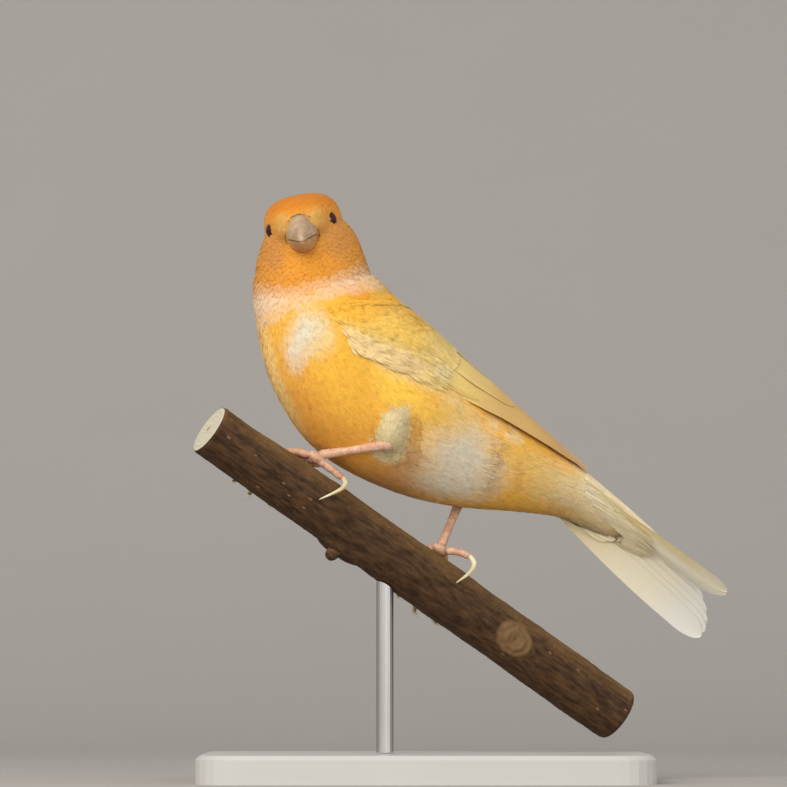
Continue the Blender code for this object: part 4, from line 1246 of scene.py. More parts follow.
class Wing:
    """One folded wing: a core that lies on the body, feathers in tiers, and small coverts."""

    GRID = (64, 30)

    def __init__(self, trunk: Trunk, side: Side) -> None:
        """Charts the trunk's surface under the wing.

        Args:
            trunk: The form that the wing lies on.
            side: Which wing.
        """
        self.side = side
        self.distances = np.linspace(-9.5, 75.0, self.GRID[0])
        self.shares = np.linspace(-0.2, 1.4, self.GRID[1])
        low = np.interp(self.distances, WING_STEPS, WING_LOW_DEG[side])
        high = np.interp(self.distances, WING_STEPS, WING_HIGH_DEG)
        self.chart = np.empty((*self.GRID, 3))
        self.outs = np.empty((*self.GRID, 3))
        for i, distance in enumerate(self.distances):
            index = trunk.row_at(distance)
            for j, share in enumerate(self.shares):
                angle = low[i] + (high[i] - low[i]) * share
                self.chart[i, j], self.outs[i, j] = trunk.place(index, angle, side.value)
        inner = slice(3, -7)
        steps = np.linalg.norm(np.diff(self.chart[:, inner], axis=1), axis=2).sum(1)
        self.heights = steps / (self.shares[-8] - self.shares[3])

    def at(self, distance: Array, share: Array, lift: Array) -> Array:
        """Points above the body.

        Args:
            distance: Millimetres along the wing from its bend.
            share: The share of its height from the lower edge.
            lift: Millimetres above the body.

        Returns:
            One point each.
        """
        i = np.interp(distance, self.distances, range(self.GRID[0]))
        j = np.interp(share, self.shares, range(self.GRID[1]))
        low_i = np.minimum(i.astype(int), self.GRID[0] - 2)
        low_j = np.minimum(j.astype(int), self.GRID[1] - 2)
        fi, fj = (i - low_i)[:, None], (j - low_j)[:, None]

        def read(values: Array) -> Array:
            """values between the four nearest places."""
            near = values[low_i, low_j] * (1 - fj) + values[low_i, low_j + 1] * fj
            far = values[low_i + 1, low_j] * (1 - fj) + values[low_i + 1, low_j + 1] * fj
            return near * (1 - fi) + far * fi

        return read(self.chart) + unit(read(self.outs)) * lift[:, None]

    def surface(self, distance: Array, share: Array) -> Array:
        """How high the wing's outer side lies above the body: low at its front and at both edges."""
        lift = np.interp(
            distance, (-8.0, -4.0, 0.0, 6.0, 14.0, 28.0, 45.0, 62.0, 75.0),
            (0.05, 0.4, 1.0, 1.8, 2.35, 2.45, 2.2, 1.8, 1.3),
        )
        floor = np.interp(distance, (0.0, 12.0, 20.0, 34.0, 46.0), (0.36, 0.3, 0.14, 0.25, 0.8))
        rise = floor + (1 - floor) * np.interp(share, (-0.02, 0.3), (0.0, 1.0))
        edge = np.abs(share - 0.5) / self.front_spread(distance)
        front = 1 - 0.7 * ramp(edge, 0.75, 1.1) * ramp(distance, 9.0, 1.0)
        return lift * rise * front * np.interp(share, (0.8, 1.05, 1.3), (1.0, 0.55, 0.05))

    def outward(self, distance: Array, share: Array) -> Array:
        """The way out of the wing's outer side."""
        near = []
        for ahead, above in ((-1.5, 0.0), (1.5, 0.0), (0.0, -0.07), (0.0, 0.07)):
            place = distance + ahead, share + above
            near.append(self.at(*place, self.surface(*place)))
        out = unit(np.cross(near[1] - near[0], near[3] - near[2]))
        low, high = (self.at(distance, share, np.full(len(share), lift)) for lift in (0.0, 2.0))
        return out * np.sign((out * (high - low)).sum(1))[:, None]

    def height(self, distance: Array) -> Array:
        """Millimetres from the lower to the upper edge."""
        return np.interp(distance, self.distances, self.heights)

    def colour(self, distance: Array, share: Array) -> Array:
        """The wing's colour, pale cream with gold towards the shoulder and the tips."""
        blotch = 0.15 * noise(np.column_stack([distance, share * 14.0]), 4.0, 21)
        wander = distance + 8 * blotch
        front = ramp(distance, -3.0, 2.0) * ramp(distance, 24.0, 14.0)
        return blended(
            np.tile(linear("#E8C777"), (len(distance), 1)),
            ("#EBBD58", ramp(wander, 20.0, 9.0) * ramp(share, 0.12, 0.3)),
            ("#E0AE50", ramp(wander, 19.0, 7.0) * ramp(share, 0.45, 0.7)),
            ("#F0CE92", front * ramp(share + 0.3 * blotch, 0.19, 0.09)),
            ("#E2D5AE", 0.5 * ramp(np.hypot((distance - 23.0) / 5.0, (share - 0.14) / 0.1), 1.3, 0.4)),
            ("#EDAE3A", ramp(wander, 4.0, -3.0) * ramp(share, 0.05, 0.3)),
            ("#CFA45C", ramp(wander, 30.0, 48.0)),
            ("#BC9058", ramp(distance, 50.0, 66.0)),
        )

    def vanes(self) -> Mesh:
        """The flight feathers and the greater coverts."""
        meshes = []
        feathers = [(tier, i / (tier.count - 1)) for tier in WING_TIERS for i in range(tier.count)]
        for number, (tier, q) in enumerate(feathers):
            start = vector(*tier.first) * (1 - q) + vector(*tier.last) * q
            end = vector(*tier.first_end) * (1 - q) + vector(*tier.last_end) * q
            end[0] += tier.bow * math.sin(math.pi * q)

            def place(t: Array, across: Array) -> tuple[Array, Array]:
                """Where this feather's points lie along the wing, and at what share of its height."""
                distance = start[0] + (end[0] - start[0]) * t
                return distance, start[1] + (end[1] - start[1]) * t + across / self.height(distance)

            def lay(t: Array, across: Array, lift: Array) -> Array:
                """Points of this feather on the wing."""
                distance, share = place(t, across)
                base = self.surface(distance, share) - tier.sink * (1 - 0.5 * t)
                root = 0.8 * (1 - ramp(t, 0.0, 0.45))
                tuck = 0.12 * across / tier.half_width
                return self.at(distance, share, base + lift - root - tuck - 0.05 * q)

            shape = VaneShape(tier.half_width, round_from=tier.round_from)
            points, faces, out, spread = vane(lay, shape, end[0] - start[0], 300 + number)
            t, across = spread[:, 0] / (end[0] - start[0]), spread[:, 1] / tier.half_width
            pale = np.maximum(ramp(np.abs(across), 0.45, 0.95), ramp(t, 0.8, 1.0)) * 0.1
            colours = blended(self.colour(*place(t, spread[:, 1])), ("#F0DDB0", pale))
            colours *= (1 - ramp(across, 0.9, -0.2) * 0.06 * ramp(t, 0.9, 0.4))[:, None]
            bake = np.column_stack([0.02 + 0.96 * t, (number + 0.5 + 0.42 * across) / len(feathers)])
            meshes.append(Mesh(points, faces, colours, bake, spread, out))
        return Mesh.joined(meshes)

    def core(self) -> Mesh:
        """The wing's own body under its feathers, close over the trunk."""
        rows, columns = 60, 14
        tops, bottoms, places = [], [], []
        for q in np.linspace(0.0, 1.0, rows):
            spread = 0.5 * min(1.0, 0.55 + 3.0 * q) * (1.0 - 0.25 * q**4)
            x = np.linspace(-1, 1, columns)
            share = 0.5 + spread * x
            distance = np.full(columns, -5.0 + 53.0 * q)
            tops.append(self.at(distance, share, np.maximum(self.surface(distance, share) - 0.5, 0.0)))
            bottoms.append(self.at(distance, share, np.full(columns, -0.3)))
            places.append(np.column_stack([distance, share]))
        faces = sheet_faces(rows, columns)
        if self.side is Side.LEFT:
            faces = faces[:, ::-1]
        return Mesh(np.vstack([*tops, *bottoms]), faces, self.colour(*np.vstack(places * 2).T) * 0.95)

    def spread_tufts(
        self, distance: Array, share: Array, length: Array, rise: float, lifts: Sequence[Array], seed: int
    ) -> Tufts:
        """Small feathers on the wing.

        Args:
            distance: Where each grows along the wing.
            share: The share of the wing's height there.
            length: How long each is.
            rise: How far each turns up, as a share of the height.
            lifts: Each one's height at its root, middle and tip.
            seed: The random draw's seed.

        Returns:
            The feathers, ready to be made.
        """
        random = np.random.default_rng(seed)
        drift = random.normal(0, 0.03, len(distance)) + rise
        steps = zip((0, 0.5, 1), lifts)
        lines = [self.at(distance + length * t, share + drift * t, lift) for t, lift in steps]
        out = self.outward(distance + length / 2, share + rise / 2)
        colours = self.colour(distance + 2, share + drift / 2)
        half = np.interp(length, (3.0, 8.0), (0.95, 1.6))
        bake = np.column_stack([
            np.clip((distance + 9) / 50.0, 0.01, 0.99), np.clip((share + 0.16) / 1.56, 0.01, 0.99),
        ])
        return Tufts(*lines, out, half, colours, bake, strand_width=0.36, seed=seed, tip_share=0.03)

    def front_spread(self, distance: Array) -> Array:
        """Half of the wing's height that its rounded front takes up."""
        return 0.5 * np.minimum(1.0, 0.55 + 3.0 * np.maximum(distance + 5.0, 0.0) / 53.0)

    def small_coverts(self) -> Tufts:
        """The lesser coverts on the shoulder."""
        random = np.random.default_rng(40 + int(self.side is Side.LEFT))
        tries = 12000
        distance = random.uniform(-8.0, 22.0, tries)
        share = random.uniform(-0.04, 1.08, tries)
        inside = np.abs(share - 0.5) < self.front_spread(distance) * 1.04
        keep = inside & (distance < 20.0 - 4.0 * (share - 0.5))
        distance, share = distance[keep], share[keep]
        flat = np.column_stack([distance, share * self.height(distance)])
        kept = thinned(flat, np.full(len(flat), 0.82), 0.85)
        distance, share = distance[kept], share[kept]
        length = np.interp(distance, (-8.0, 0.0, 12.0, 24.0), (3.4, 4.6, 6.5, 8.0))
        length = length * random.uniform(0.9, 1.1, len(kept))
        lifts = (
            self.surface(distance, share) - 0.5, self.surface(distance + length / 2, share),
            self.surface(distance + length, share) + 0.1,
        )
        return self.spread_tufts(distance, share, length, -0.02, lifts, 50)

    def scapulars(self) -> Tufts:
        """Feathers that grow on the back and lap over the wing's upper edge."""
        random = np.random.default_rng(45 + int(self.side is Side.LEFT))
        count = 620
        distance = random.uniform(-5.0, 33.0, count)
        share = random.uniform(0.96, 1.32, count)
        length = random.uniform(6.0, 8.5, count)
        clear = ramp(distance, -5.0, 8.0)
        lifts = (
            self.surface(distance, share) - 0.8,
            self.surface(distance + length / 2, share - 0.06) + 0.1 * clear - 0.1,
            self.surface(distance + length, share - 0.12) + 0.12 * clear - 0.04,
        )
        return self.spread_tufts(distance, share, length, -0.12, lifts, 52)

    def build(self, vane_finish: Material, coat_finish: Material) -> None:
        """Makes the wing's four pieces."""
        name = self.side.name.lower()
        build(f"wing_feathers_{name}", self.vanes(), vane_finish, Slot.WING, f"wing_{name}")
        build(f"wing_core_{name}", self.core(), coat_finish, Slot.WING)
        build(f"wing_coverts_{name}", self.small_coverts().mesh(), coat_finish, Slot.WING)
        build(f"wing_scapulars_{name}", self.scapulars().mesh(), coat_finish, Slot.BODY)


class Tail:
    """Twelve tail feathers, longer towards both sides, and the coverts above and below them."""

    COUNT = 12
    LENGTH = 51.0
    ROOT_HALF = 3.2
    TIP_HALF = 8.6
    DROOP = 0.22
    FORK = 0.21
    NEAR_SHORT = 3.6
    HALF_WIDTH = 3.2
    COVERT_STEPS = (-2.0, 4.0, 10.0, 17.0, 25.0, 32.0)
    COVERT_WIDE = (5.0, 6.2, 6.9, 6.6, 6.0, 5.0)
    COVERT_FAR = (5.4, 6.2, 5.4, 3.8, 2.2, 1.4)
    ROOT_FAR = 6.2
    FAR_GAP = 0.35
    COVERT_UP = (3.4, 2.8, 2.2, 1.7, 1.4, 1.1)
    COVERT_DOWN = (5.2, 4.4, 3.0, 1.8, 1.0, 0.6)

    def lay(self, distance: Array, out: Array, lift: Array) -> Array:
        """Points on the tail, by distance from its root, millimetres aside and lift."""
        rise = lift - self.DROOP * np.abs(out)
        return TAIL_ROOT + distance[:, None] * TAIL_WAY + out[:, None] * TAIL_LEFT + rise[:, None] * TAIL_UP

    def colour(self, distance: Array, out: Array) -> Array:
        """White towards the tip, cream at the root, with pale yellow outer edges."""
        return blended(
            np.tile(linear("#F0E6CC"), (len(distance), 1)),
            ("#F0E0B4", ramp(distance, 32.0, 8.0)),
            ("#E8E6DC", ramp(distance, 32.0, 46.0)),
            ("#FBF2DA", ramp(out, 1.0, 4.0) * ramp(distance, 16.0, 30.0)),
            ("#F8E3A0", 0.7 * ramp(out, 4.5, 7.5) * ramp(distance, 46.0, 32.0)),
        )

    def vanes(self) -> Mesh:
        """The twelve tail feathers, and twelve large coverts above and below their roots."""
        meshes = []
        # Of each: where it starts and how far aside, where it ends and how far aside, its height at
        # both ends, its half width and from which share of its length it rounds off
        specs = []
        for i in range(self.COUNT):
            place = 2 * i / (self.COUNT - 1) - 1
            length = self.LENGTH * (1.0 - self.FORK * (1 - abs(place)) ** 2.2)
            length -= self.NEAR_SHORT * max(0.0, place)
            height = 0.72 - 1.7 * abs(place) - 0.02 * i
            root_half = self.ROOT_HALF if place > 0 else self.ROOT_FAR
            sides = root_half * place, self.TIP_HALF * place
            specs.append((6.0, sides[0], length, sides[1], height, height, self.HALF_WIDTH, 0.86))
        for i in range(7):
            place = (i - 3) / 3
            specs.append((7.0, 3.4 * place, 23.0 - 4.0 * abs(place), 4.4 * place, -1.9, -1.3 - 0.1 * i, 2.0, 0.7))
        for i in range(5):
            place = (i - 2) / 2
            specs.append((6.0, 2.8 * place, 17.5 - 3.0 * abs(place), 3.2 * place, 1.6, 0.95 + 0.06 * i, 2.0, 0.7))
        for number, (start, aside, end, aside_end, high, high_end, half, round_from) in enumerate(specs):
            length = end - start
            shape = VaneShape(half, round_from=round_from, dome=0.18)

            def lay(t: Array, across: Array, lift: Array) -> Array:
                """Points of this feather in the tail."""
                out = aside + (aside_end - aside) * t
                tilt = -0.10 * across * np.sign(aside_end) if abs(aside_end) > 0.2 else 0.0 * across
                rise = high + (high_end - high) * t + lift - 0.25 + tilt
                return self.lay(start + length * t, out + across, rise)

            points, faces, normals, spread = vane(lay, shape, length, 500 + number)
            t = spread[:, 0] / length
            out = aside + (aside_end - aside) * t + spread[:, 1]
            colours = self.colour(start + spread[:, 0], out)
            across = (number + 0.5 + 0.42 * spread[:, 1] / half) / len(specs)
            bake = np.column_stack([0.02 + 0.96 * t, across])
            meshes.append(Mesh(points, faces, colours, bake, spread, normals))
        return Mesh.joined(meshes)

    def coverts(self) -> Tufts:
        """Long soft feathers that hide the roots of the tail above, below and at both sides."""
        random = np.random.default_rng(60)
        count = 1800
        turn = random.uniform(self.FAR_GAP - math.pi, math.pi - self.FAR_GAP, count)
        start = -2.0 + 21.0 * random.uniform(0, 1, count) ** 1.3
        length = random.uniform(8.0, 12.0, count)

        def at(t: float, sink: float) -> Array:
            """Points along every feather."""
            distance = start + length * t
            near, far, tall, deep = (
                np.interp(distance, self.COVERT_STEPS, sizes) * sink
                for sizes in (self.COVERT_WIDE, self.COVERT_FAR, self.COVERT_UP, self.COVERT_DOWN)
            )
            lift = np.where(high > 0, tall, deep) * high - 0.6
            return self.lay(distance, aside * np.where(aside > 0, near, far), lift)

        aside, high = np.cos(turn), np.sin(turn)
        outward = np.where(aside > 0, high, np.sign(high) * np.maximum(np.abs(high), 0.35))
        normals = unit(np.maximum(aside, 0.1)[:, None] * TAIL_LEFT * 0.9 + outward[:, None] * TAIL_UP)
        # Painted shade: a greyish-brown line along the lower far side of the coverts, but for those rooted
        # nearest the body.
        low = ramp(np.abs(turn + 2.4), 0.5, 0.15) * ramp(start, -1.0, 4.0) * 0.35
        colours = blended(
            np.tile(linear("#EAD9B2"), (count, 1)), ("#E6C87C", ramp(high, -0.2, 0.5)), ("#B59B70", low)
        )
        bake = np.column_stack([np.clip(start / 20.0, 0.01, 0.99), 0.5 + turn / 6.4])
        return Tufts(
            at(0.0, 0.72), at(0.5, 0.97), at(1.0, 1.0), normals, np.full(count, 1.5), colours, bake,
            strand_width=0.34, seed=61,
        )

    def build(self, vane_finish: Material, coat_finish: Material) -> None:
        """Makes the tail's two pieces."""
        build("tail_feathers", self.vanes(), vane_finish, Slot.TAIL, "tail")
        build("tail_coverts", self.coverts().mesh(), coat_finish, Slot.TAIL)


@dataclass(frozen=True)
class Bill:
    """The short thick seed-eater's bill, its nostrils and the line of the mouth."""

    length: float = 9.6
    half_width: float = 3.5
    depth_up: float = 4.7
    depth_down: float = 3.3
    pitch: float = 0.10

    def axes(self) -> tuple[Array, Array, Array]:
        """The bill's own forward, left and up."""
        forward, left, up = HEAD_AXES
        axis = unit(forward - self.pitch * up)
        return axis, left, unit(up - (up @ axis) * axis)

    def upper(self) -> Mesh:
        """The upper bill, with a ridge on top and two nostril pits."""
        axis, left, rise = self.axes()
        root = in_head(*BILL_ROOT)
        tip = 1 - 0.1 * (1 - np.linspace(0, 1, 12)[1:]) ** 2
        share = np.concatenate([np.linspace(-0.28, 0.9, 34), tip])
        along = np.clip(share, 0, 1)
        width = self.half_width * (1 - along**1.55) ** 0.8 + 0.22
        culmen = self.depth_up * (1 - along**1.7) ** 0.75 + 0.35
        drop = 0.7 * np.maximum(share, 0) ** 2
        middle = root + np.outer(share * self.length, axis) - np.outer(drop, rise)
        made = tube(middle, left, rise, width, culmen, 0.12, 56, 1.9)
        for hand in (1.0, -1.0):
            nostril = root + axis * 1.5 + rise * 2.7 + left * 2.35 * hand
            offset = (made.points - nostril) @ np.array([axis, left, rise]).T
            near = np.exp(-((offset / vector(0.75, 0.9, 0.5)) ** 2).sum(1))
            made.points -= left * hand * (0.75 * near)[:, None]
        return made

    def lower(self) -> Mesh:
        """The lower bill, just under the upper one's edge."""
        axis, left, rise = self.axes()
        tip = 0.95 - 0.09 * (1 - np.linspace(0, 1, 10)[1:]) ** 2
        share = np.concatenate([np.linspace(-0.28, 0.86, 34), tip])
        along = np.clip(share / 0.95, 0, 1)
        width = self.half_width * 0.97 * (1 - along**1.7) ** 0.8 + 0.2
        depth = self.depth_down * (1 - along**1.8) ** 0.8 + 0.3
        drop = 0.46 + 0.7 * np.maximum(share, 0) ** 2
        middle = in_head(*BILL_ROOT) + np.outer(share * self.length, axis) - np.outer(drop, rise)
        return tube(middle, left, rise, width, 0.5, depth, 56, 1.9)

    def bristles(self) -> Tufts:
        """Short ragged feathers that lap on to the bill's root, with painted shade over the nostrils and at the
        mouth's corners.
        """
        random = np.random.default_rng(70)
        axis, left, rise = self.axes()
        count = 420
        turn = random.uniform(-math.pi, math.pi, count)
        tall = np.where(np.cos(turn) > 0, self.depth_up, self.depth_down)

        def at(ahead: Array, swell: float) -> Array:
            """Points round the bill."""
            aside = np.outer(np.sin(turn) * (self.half_width + swell), left)
            high = np.outer(np.cos(turn) * (tall + swell), rise)
            return in_head(*BILL_ROOT) + aside + high + np.outer(ahead, axis)

        start = random.uniform(-0.5, 0.6, count)
        reach = random.uniform(0.7, 1.3, count)
        roots, middles, tips = at(start, 0.5), at(start + 0.5 * reach, 0.6), at(start + reach, 0.3)
        normals = unit(np.sin(turn)[:, None] * left + np.cos(turn)[:, None] * rise + 0.8 * axis)
        colours = blended(
            np.tile(linear("#CF9F50"), (count, 1)),
            ("#DB9A44", ramp(np.abs(turn), 1.9, 2.6)),
            # Painted shade: dark over the nostrils, and at the corners of the mouth.
            ("#5A4422", 0.8 * ramp(np.abs(np.abs(turn) - 0.66), 0.34, 0.2)),
            ("#6A4826", 0.75 * ramp(np.abs(np.abs(turn) - 1.62), 0.3, 0.16)),
        )
        bake = np.column_stack([0.15 + 0.008 * np.cos(turn), 0.5 + 0.02 * np.sin(turn)])
        return Tufts(
            roots, middles, tips, normals, np.full(count, 0.4), colours, bake, strands=5, strand_width=0.16,
            seed=71, tip_share=0.0,
        )

    def build(self, top: Material, bottom: Material, mouth: Material, soft: Material) -> None:
        """Makes both halves, a thin sheet of painted shade in the mouth's line between them and the bristles at
        its root.
        """
        build("bill_top", self.upper(), top, Slot.BILL, "bill_upper")
        build("bill_bottom", self.lower(), bottom, Slot.BILL, "bill_lower")
        axis, left, rise = self.axes()
        # Painted shade between the bill's halves: a thin flat dark sheet.
        middle = in_head(*BILL_ROOT) + axis * 2.0 - rise * 0.27
        build("mouth", ball(middle, (2.5, 0.14, 4.0), [left, rise, axis], 16, 32), mouth, Slot.BILL)
        build("bill_bristles", self.bristles().mesh(), soft, Slot.HEAD)


@dataclass(frozen=True)
class Eyes:
    """Dark glossy eyes, each in a thin bare lid."""

    radius: float = EYE_RADIUS
    lid: float = 0.2
    proud: float = 0.35

    def build(self, glossy: Material, lid: Material) -> None:
        """Makes both eyes and their lids."""
        for hand, name in ((1.0, "left"), (-1.0, "right")):
            centre = in_head(*((EYE + vector(0.1, self.proud, 0.0)) * vector(1, hand, 1)))
            look = unit(hand * HEAD_AXES[1] + 0.3 * HEAD_AXES[0])
            first = unit(np.cross(look, HEAD_AXES[2]))
            axes = [first, np.cross(look, first), look]
            eyeball = ball(centre, (self.radius * 0.99, self.radius * 0.99, self.radius), axes, 32, 48)
            build(f"eyeball_{name}", eyeball, glossy, Slot.EYE, f"eye_{name}")
            rim = torus(centre + look * 0.85, look, self.radius * 0.92, self.lid, 22)
            build(f"eyelid_{name}", rim, lid, Slot.SKIN)


class Feet:
    """Both scaly shanks, the feet that grip the perch, and their claws."""

    SCUTE = 1.25
    CLAW_START = -126.0
    TOE_RADIUS = 0.85

    def scutes(self, run: Array, turns: Array) -> Array:
        """Overlapping plates down the front and finer scales behind."""
        step = (run / self.SCUTE) % 1.0
        plate = 0.055 * (1 - step) ** 2 - 0.03
        front = 0.5 + 0.5 * np.sin(turns)
        return 1 + plate * (0.35 + 0.65 * front)

    def toe_scales(self, run: Array, turns: Array) -> Array:
        """The plates on top of a toe and the pads under it."""
        step = (run / 0.95) % 1.0
        plate = 0.06 * (1 - step) ** 2 - 0.03
        pad = 0.05 * np.sin(run / 2.4 * 2 * math.pi) * (0.5 - 0.5 * np.sin(turns))
        return 1 + plate + pad

    def limb(self, leg: Leg) -> tuple[Mesh, Mesh, Mesh]:
        """One leg's shank, foot and claws.

        Args:
            leg: Its joints and toes.

        Returns:
            The three meshes.
        """
        heel = vector(*leg.heel)
        ankle = on_perch(leg.foot, leg.foot_turn, 2.4)
        way = unit(ankle - heel)
        ends = [heel - way * 1.4, heel + way * 1.6], [ankle - way * 1.6, ankle - way * 0.2]
        shank = rod([*ends[0], (heel + ankle) / 2, *ends[1]], [1.5, 1.16, 1.0, 1.12, 1.4], 90, 20, -PERCH_WAY, self.scutes)
        toes, claws = [], []
        near = tuple(PERCH_WAY)
        for start, shift, reach in leg.front:
            points, sizes = [], []
            for q in np.linspace(0.0, 1.0, 7):
                turn = leg.foot_turn + (self.CLAW_START - leg.foot_turn) * q
                along = leg.foot + start * (1 - q) + shift * q**0.9
                sizes.append(self.TOE_RADIUS * (1.12 - 0.25 * q))
                points.append(on_perch(along, turn, sizes[-1] + 0.25))
            toes.append(rod(points, sizes, 70, 16, near, self.toe_scales))
            points = []
            for k, lift in enumerate((1.05, 1.6, 1.3, 0.65)):
                turn = self.CLAW_START + 2.0 + (reach - self.CLAW_START - 2.0) * k / 3
                arch = 1.0 if reach < -160 else 0.62
                points.append(on_perch(leg.foot + shift * (1.0 + 0.06 * k), turn, lift * arch))
            claws.append(rod(points, [0.6, 0.5, 0.36, 0.12], 26, 14, near))
        hind = [on_perch(leg.foot + d, turn, lift) for d, turn, lift in leg.hind]
        toes.append(rod(hind[:3], [1.0, 0.9, 0.78], 50, 16, shape=self.toe_scales))
        claw = [(2 * hind[1] + 3 * hind[2]) / 5, *hind[2:]]
        claws.append(rod(claw, [0.5, 0.62, 0.58, 0.44, 0.12], 36, 16))
        middle = on_perch(leg.foot + 0.2, leg.foot_turn, 1.75)
        pad = ball(middle, (2.3, 1.3, 1.7), [PERCH_WAY, PERCH_TOP, PERCH_NEAR], 20, 28)
        return shank, fused([pad, *toes], 0.17, 1), Mesh.joined(claws)

    def build(self, scaly: Material, horn: Material) -> None:
        """Makes both legs."""
        for leg in LEGS:
            shank, foot, claws = self.limb(leg)
            build(f"leg_{leg.name}", shank, scaly, Slot.SKIN, f"shank_{leg.name}")
            build(f"toes_{leg.name}", foot, scaly, Slot.SKIN, f"foot_{leg.name}")
            nodes = [f"claw_{leg.name}_{i}" for i in range(1, 5)]
            build(f"claws_{leg.name}", claws, horn, Slot.CLAW, *nodes)


class Branch:
    """The sawn length of branch that the canary grips."""

    START = -63.4
    LENGTH = 122.0
    ROWS = 420
    SIDES = 132
    TWIG = ((-22.0, -3.0), (-22.8, 0.6), (-23.6, 2.9))
    KNOT = (24.2, 99.0)
    SUNK = 0.25

    def middle(self, distance: Array) -> Array:
        """Points on the branch's middle line, which rises less than its top where it is slimmer."""
        return PERCH_POINT + np.outer(distance, PERCH_WAY) - np.outer(self.slim(distance), PERCH_TOP)

    def slim(self, distance: Array) -> Array:
        """How much thinner the upper end is."""
        return 0.45 * np.clip((-28.0 - distance) / 30.0, 0, 1)

    def aside(self, turn: Array, turn_deg: float) -> Array:
        """Millimetres round the bark from that many degrees."""
        return ((np.degrees(turn) - turn_deg + 180) % 360 - 180) * math.radians(1) * PERCH_RADIUS

    def radius(self, distance: Array) -> Array:
        """The branch's radius, slimmer at the upper end, as the frame's solid has it."""
        return PERCH_RADIUS - self.slim(distance) - 0.06 + 0.06 * np.sin(distance / 6.1 + 1.0)

    def bark(self) -> Mesh:
        """The bark, with long furrows, pores, a broken twig's collar and a healed knot."""
        distance = self.START + np.linspace(self.SUNK, self.LENGTH - self.SUNK, self.ROWS)
        d, a = (grid.ravel() for grid in np.meshgrid(distance, full_turn(self.SIDES), indexing="ij"))
        out = np.outer(np.cos(a), PERCH_TOP) + np.outer(np.sin(a), PERCH_NEAR)
        even = np.column_stack([d, np.cos(a) * 6.7, np.sin(a) * 6.7])
        flat = even * (0.30, 1.0, 1.0)
        relief = 0.09 * noise(flat, 1.5, 31) + 0.06 * noise(flat, 0.7, 32) + 0.05 * noise(even, 0.8, 33)
        relief += 0.10 * noise(even, 7.0, 34) - 0.16
        gap = np.hypot((d - self.KNOT[0]) / 5.0, self.aside(a, self.KNOT[1]) / 4.2)
        rings = 0.16 * np.sin(gap * 17.0) * ramp(gap, 1.1, 0.7)
        rings += 0.25 * noise(even, 0.9, 36) * ramp(gap, 1.0, 0.6)
        relief += 0.85 * np.sqrt(np.clip(1 - gap**2, 0, 1)) + rings - 0.7 * np.exp(-((gap / 0.18) ** 2))
        collar = np.clip(1 - np.hypot((d + 22.0) / 6.0, self.aside(a, 175.0) / 3.2) ** 2, 0, 1)
        relief += 1.0 * np.sqrt(collar) * (1 + 0.15 * noise(even, 1.0, 37))
        near_end = np.minimum(d - self.START, self.START + self.LENGTH - d)
        relief -= 0.22 * ramp(near_end, 1.0, 0.2)
        points = self.middle(d) + out * (self.radius(d) + relief)[:, None]
        faces = grid_faces(self.ROWS, self.SIDES, True)
        if np.cross(PERCH_NEAR, PERCH_TOP) @ PERCH_WAY > 0:
            faces = [face[::-1] for face in faces]
        shade = np.column_stack([ramp(gap + 0.15 * noise(even, 1.0, 38), 1.15, 0.75), collar, near_end])
        return Mesh(points, faces, shade)

    def end(self, upper: bool) -> Mesh:
        """One sawn end: a slightly rough disc that closes the bark."""
        at = vector(self.START + (self.SUNK if upper else self.LENGTH - self.SUNK))
        away = -1.0 if upper else 1.0
        reach = float(self.radius(at)[0]) - 0.36
        rings, sides = 30, 96
        shares = np.arange(1, rings + 1) / rings
        share, turn = (g.ravel() for g in np.meshgrid(shares, full_turn(sides), indexing="ij"))
        out = np.outer(np.cos(turn), PERCH_TOP) + np.outer(np.sin(turn), PERCH_NEAR)
        saw = 0.05 * np.sin(share * reach * np.cos(turn + 0.5) * 7.0)
        proud = away * (0.22 * (1 - share**8) + saw * (1 - share**6))
        points = self.middle(at) + out * (reach * share)[:, None] + np.outer(proud, PERCH_WAY)
        faces = [*grid_faces(rings, sides, True), tuple(range(sides))[::-1]]
        a, b, c = points[list(faces[0][:3])]
        if np.cross(b - a, c - a) @ PERCH_WAY * away < 0:
            faces = [face[::-1] for face in faces]
        return Mesh(points, faces, np.outer(share * reach, (1.0, 0.0, 0.0)))

    def build(self, bark: Material, cut: Material) -> None:
        """Makes the bark, both sawn ends and the stub of the twig."""
        build("branch_bark", self.bark(), bark, Slot.BARK, "perch")
        build("branch_end_upper", self.end(True), cut, Slot.BARK)
        build("branch_end_lower", self.end(False), cut, Slot.BARK)
        points = [on_perch(d, 172.0, lift) for d, lift in self.TWIG]

        def rough(run: Array, turns: Array) -> Array:
            """The stub's wrinkled bark."""
            place = np.column_stack([run * 0.6, np.cos(turns) * 1.6, np.sin(turns) * 1.6])
            return 1 + 0.16 * noise(place, 0.7, 39)

        stub = rod(points, [2.6, 1.7, 1.25], 40, 28, shape=rough)
        stub.colours = np.tile(vector(0.0, 1.0, 9.0), (len(stub.points), 1))
        build("branch_twig", stub, bark, Slot.BARK)
MIX = {"gives": 2, "data_type": "RGBA"}
Adder = Callable[..., bpy.types.NodeSocket]


def per_mm(size: float) -> float:
    """The texture scale at which one cell is this many millimetres wide."""
    return 1.0 / (size * MM)


class Finish:
    """One real material's look, which each kind describes by what feeds its shader."""

    name: str

    def sockets(self, add: Adder) -> dict:
        """Makes the finish's own nodes.

        Args:
            add: Adds a node to this material, as add_node does.

        Returns:
            For each input of the shader, by name, a value or the output that feeds it.
        """
        raise NotImplementedError

    def material(self) -> Material:
        """The finish, ready for a piece."""
        made = bpy.data.materials.new(self.name)
        made.use_nodes = True
        tree = made.node_tree
        tree.nodes.clear()
        shader = add_node(tree, "BsdfPrincipled", self.sockets(partial(add_node, tree)))
        output = tree.nodes.new("ShaderNodeOutputMaterial")
        tree.links.new(shader, output.inputs["Surface"])
        return made


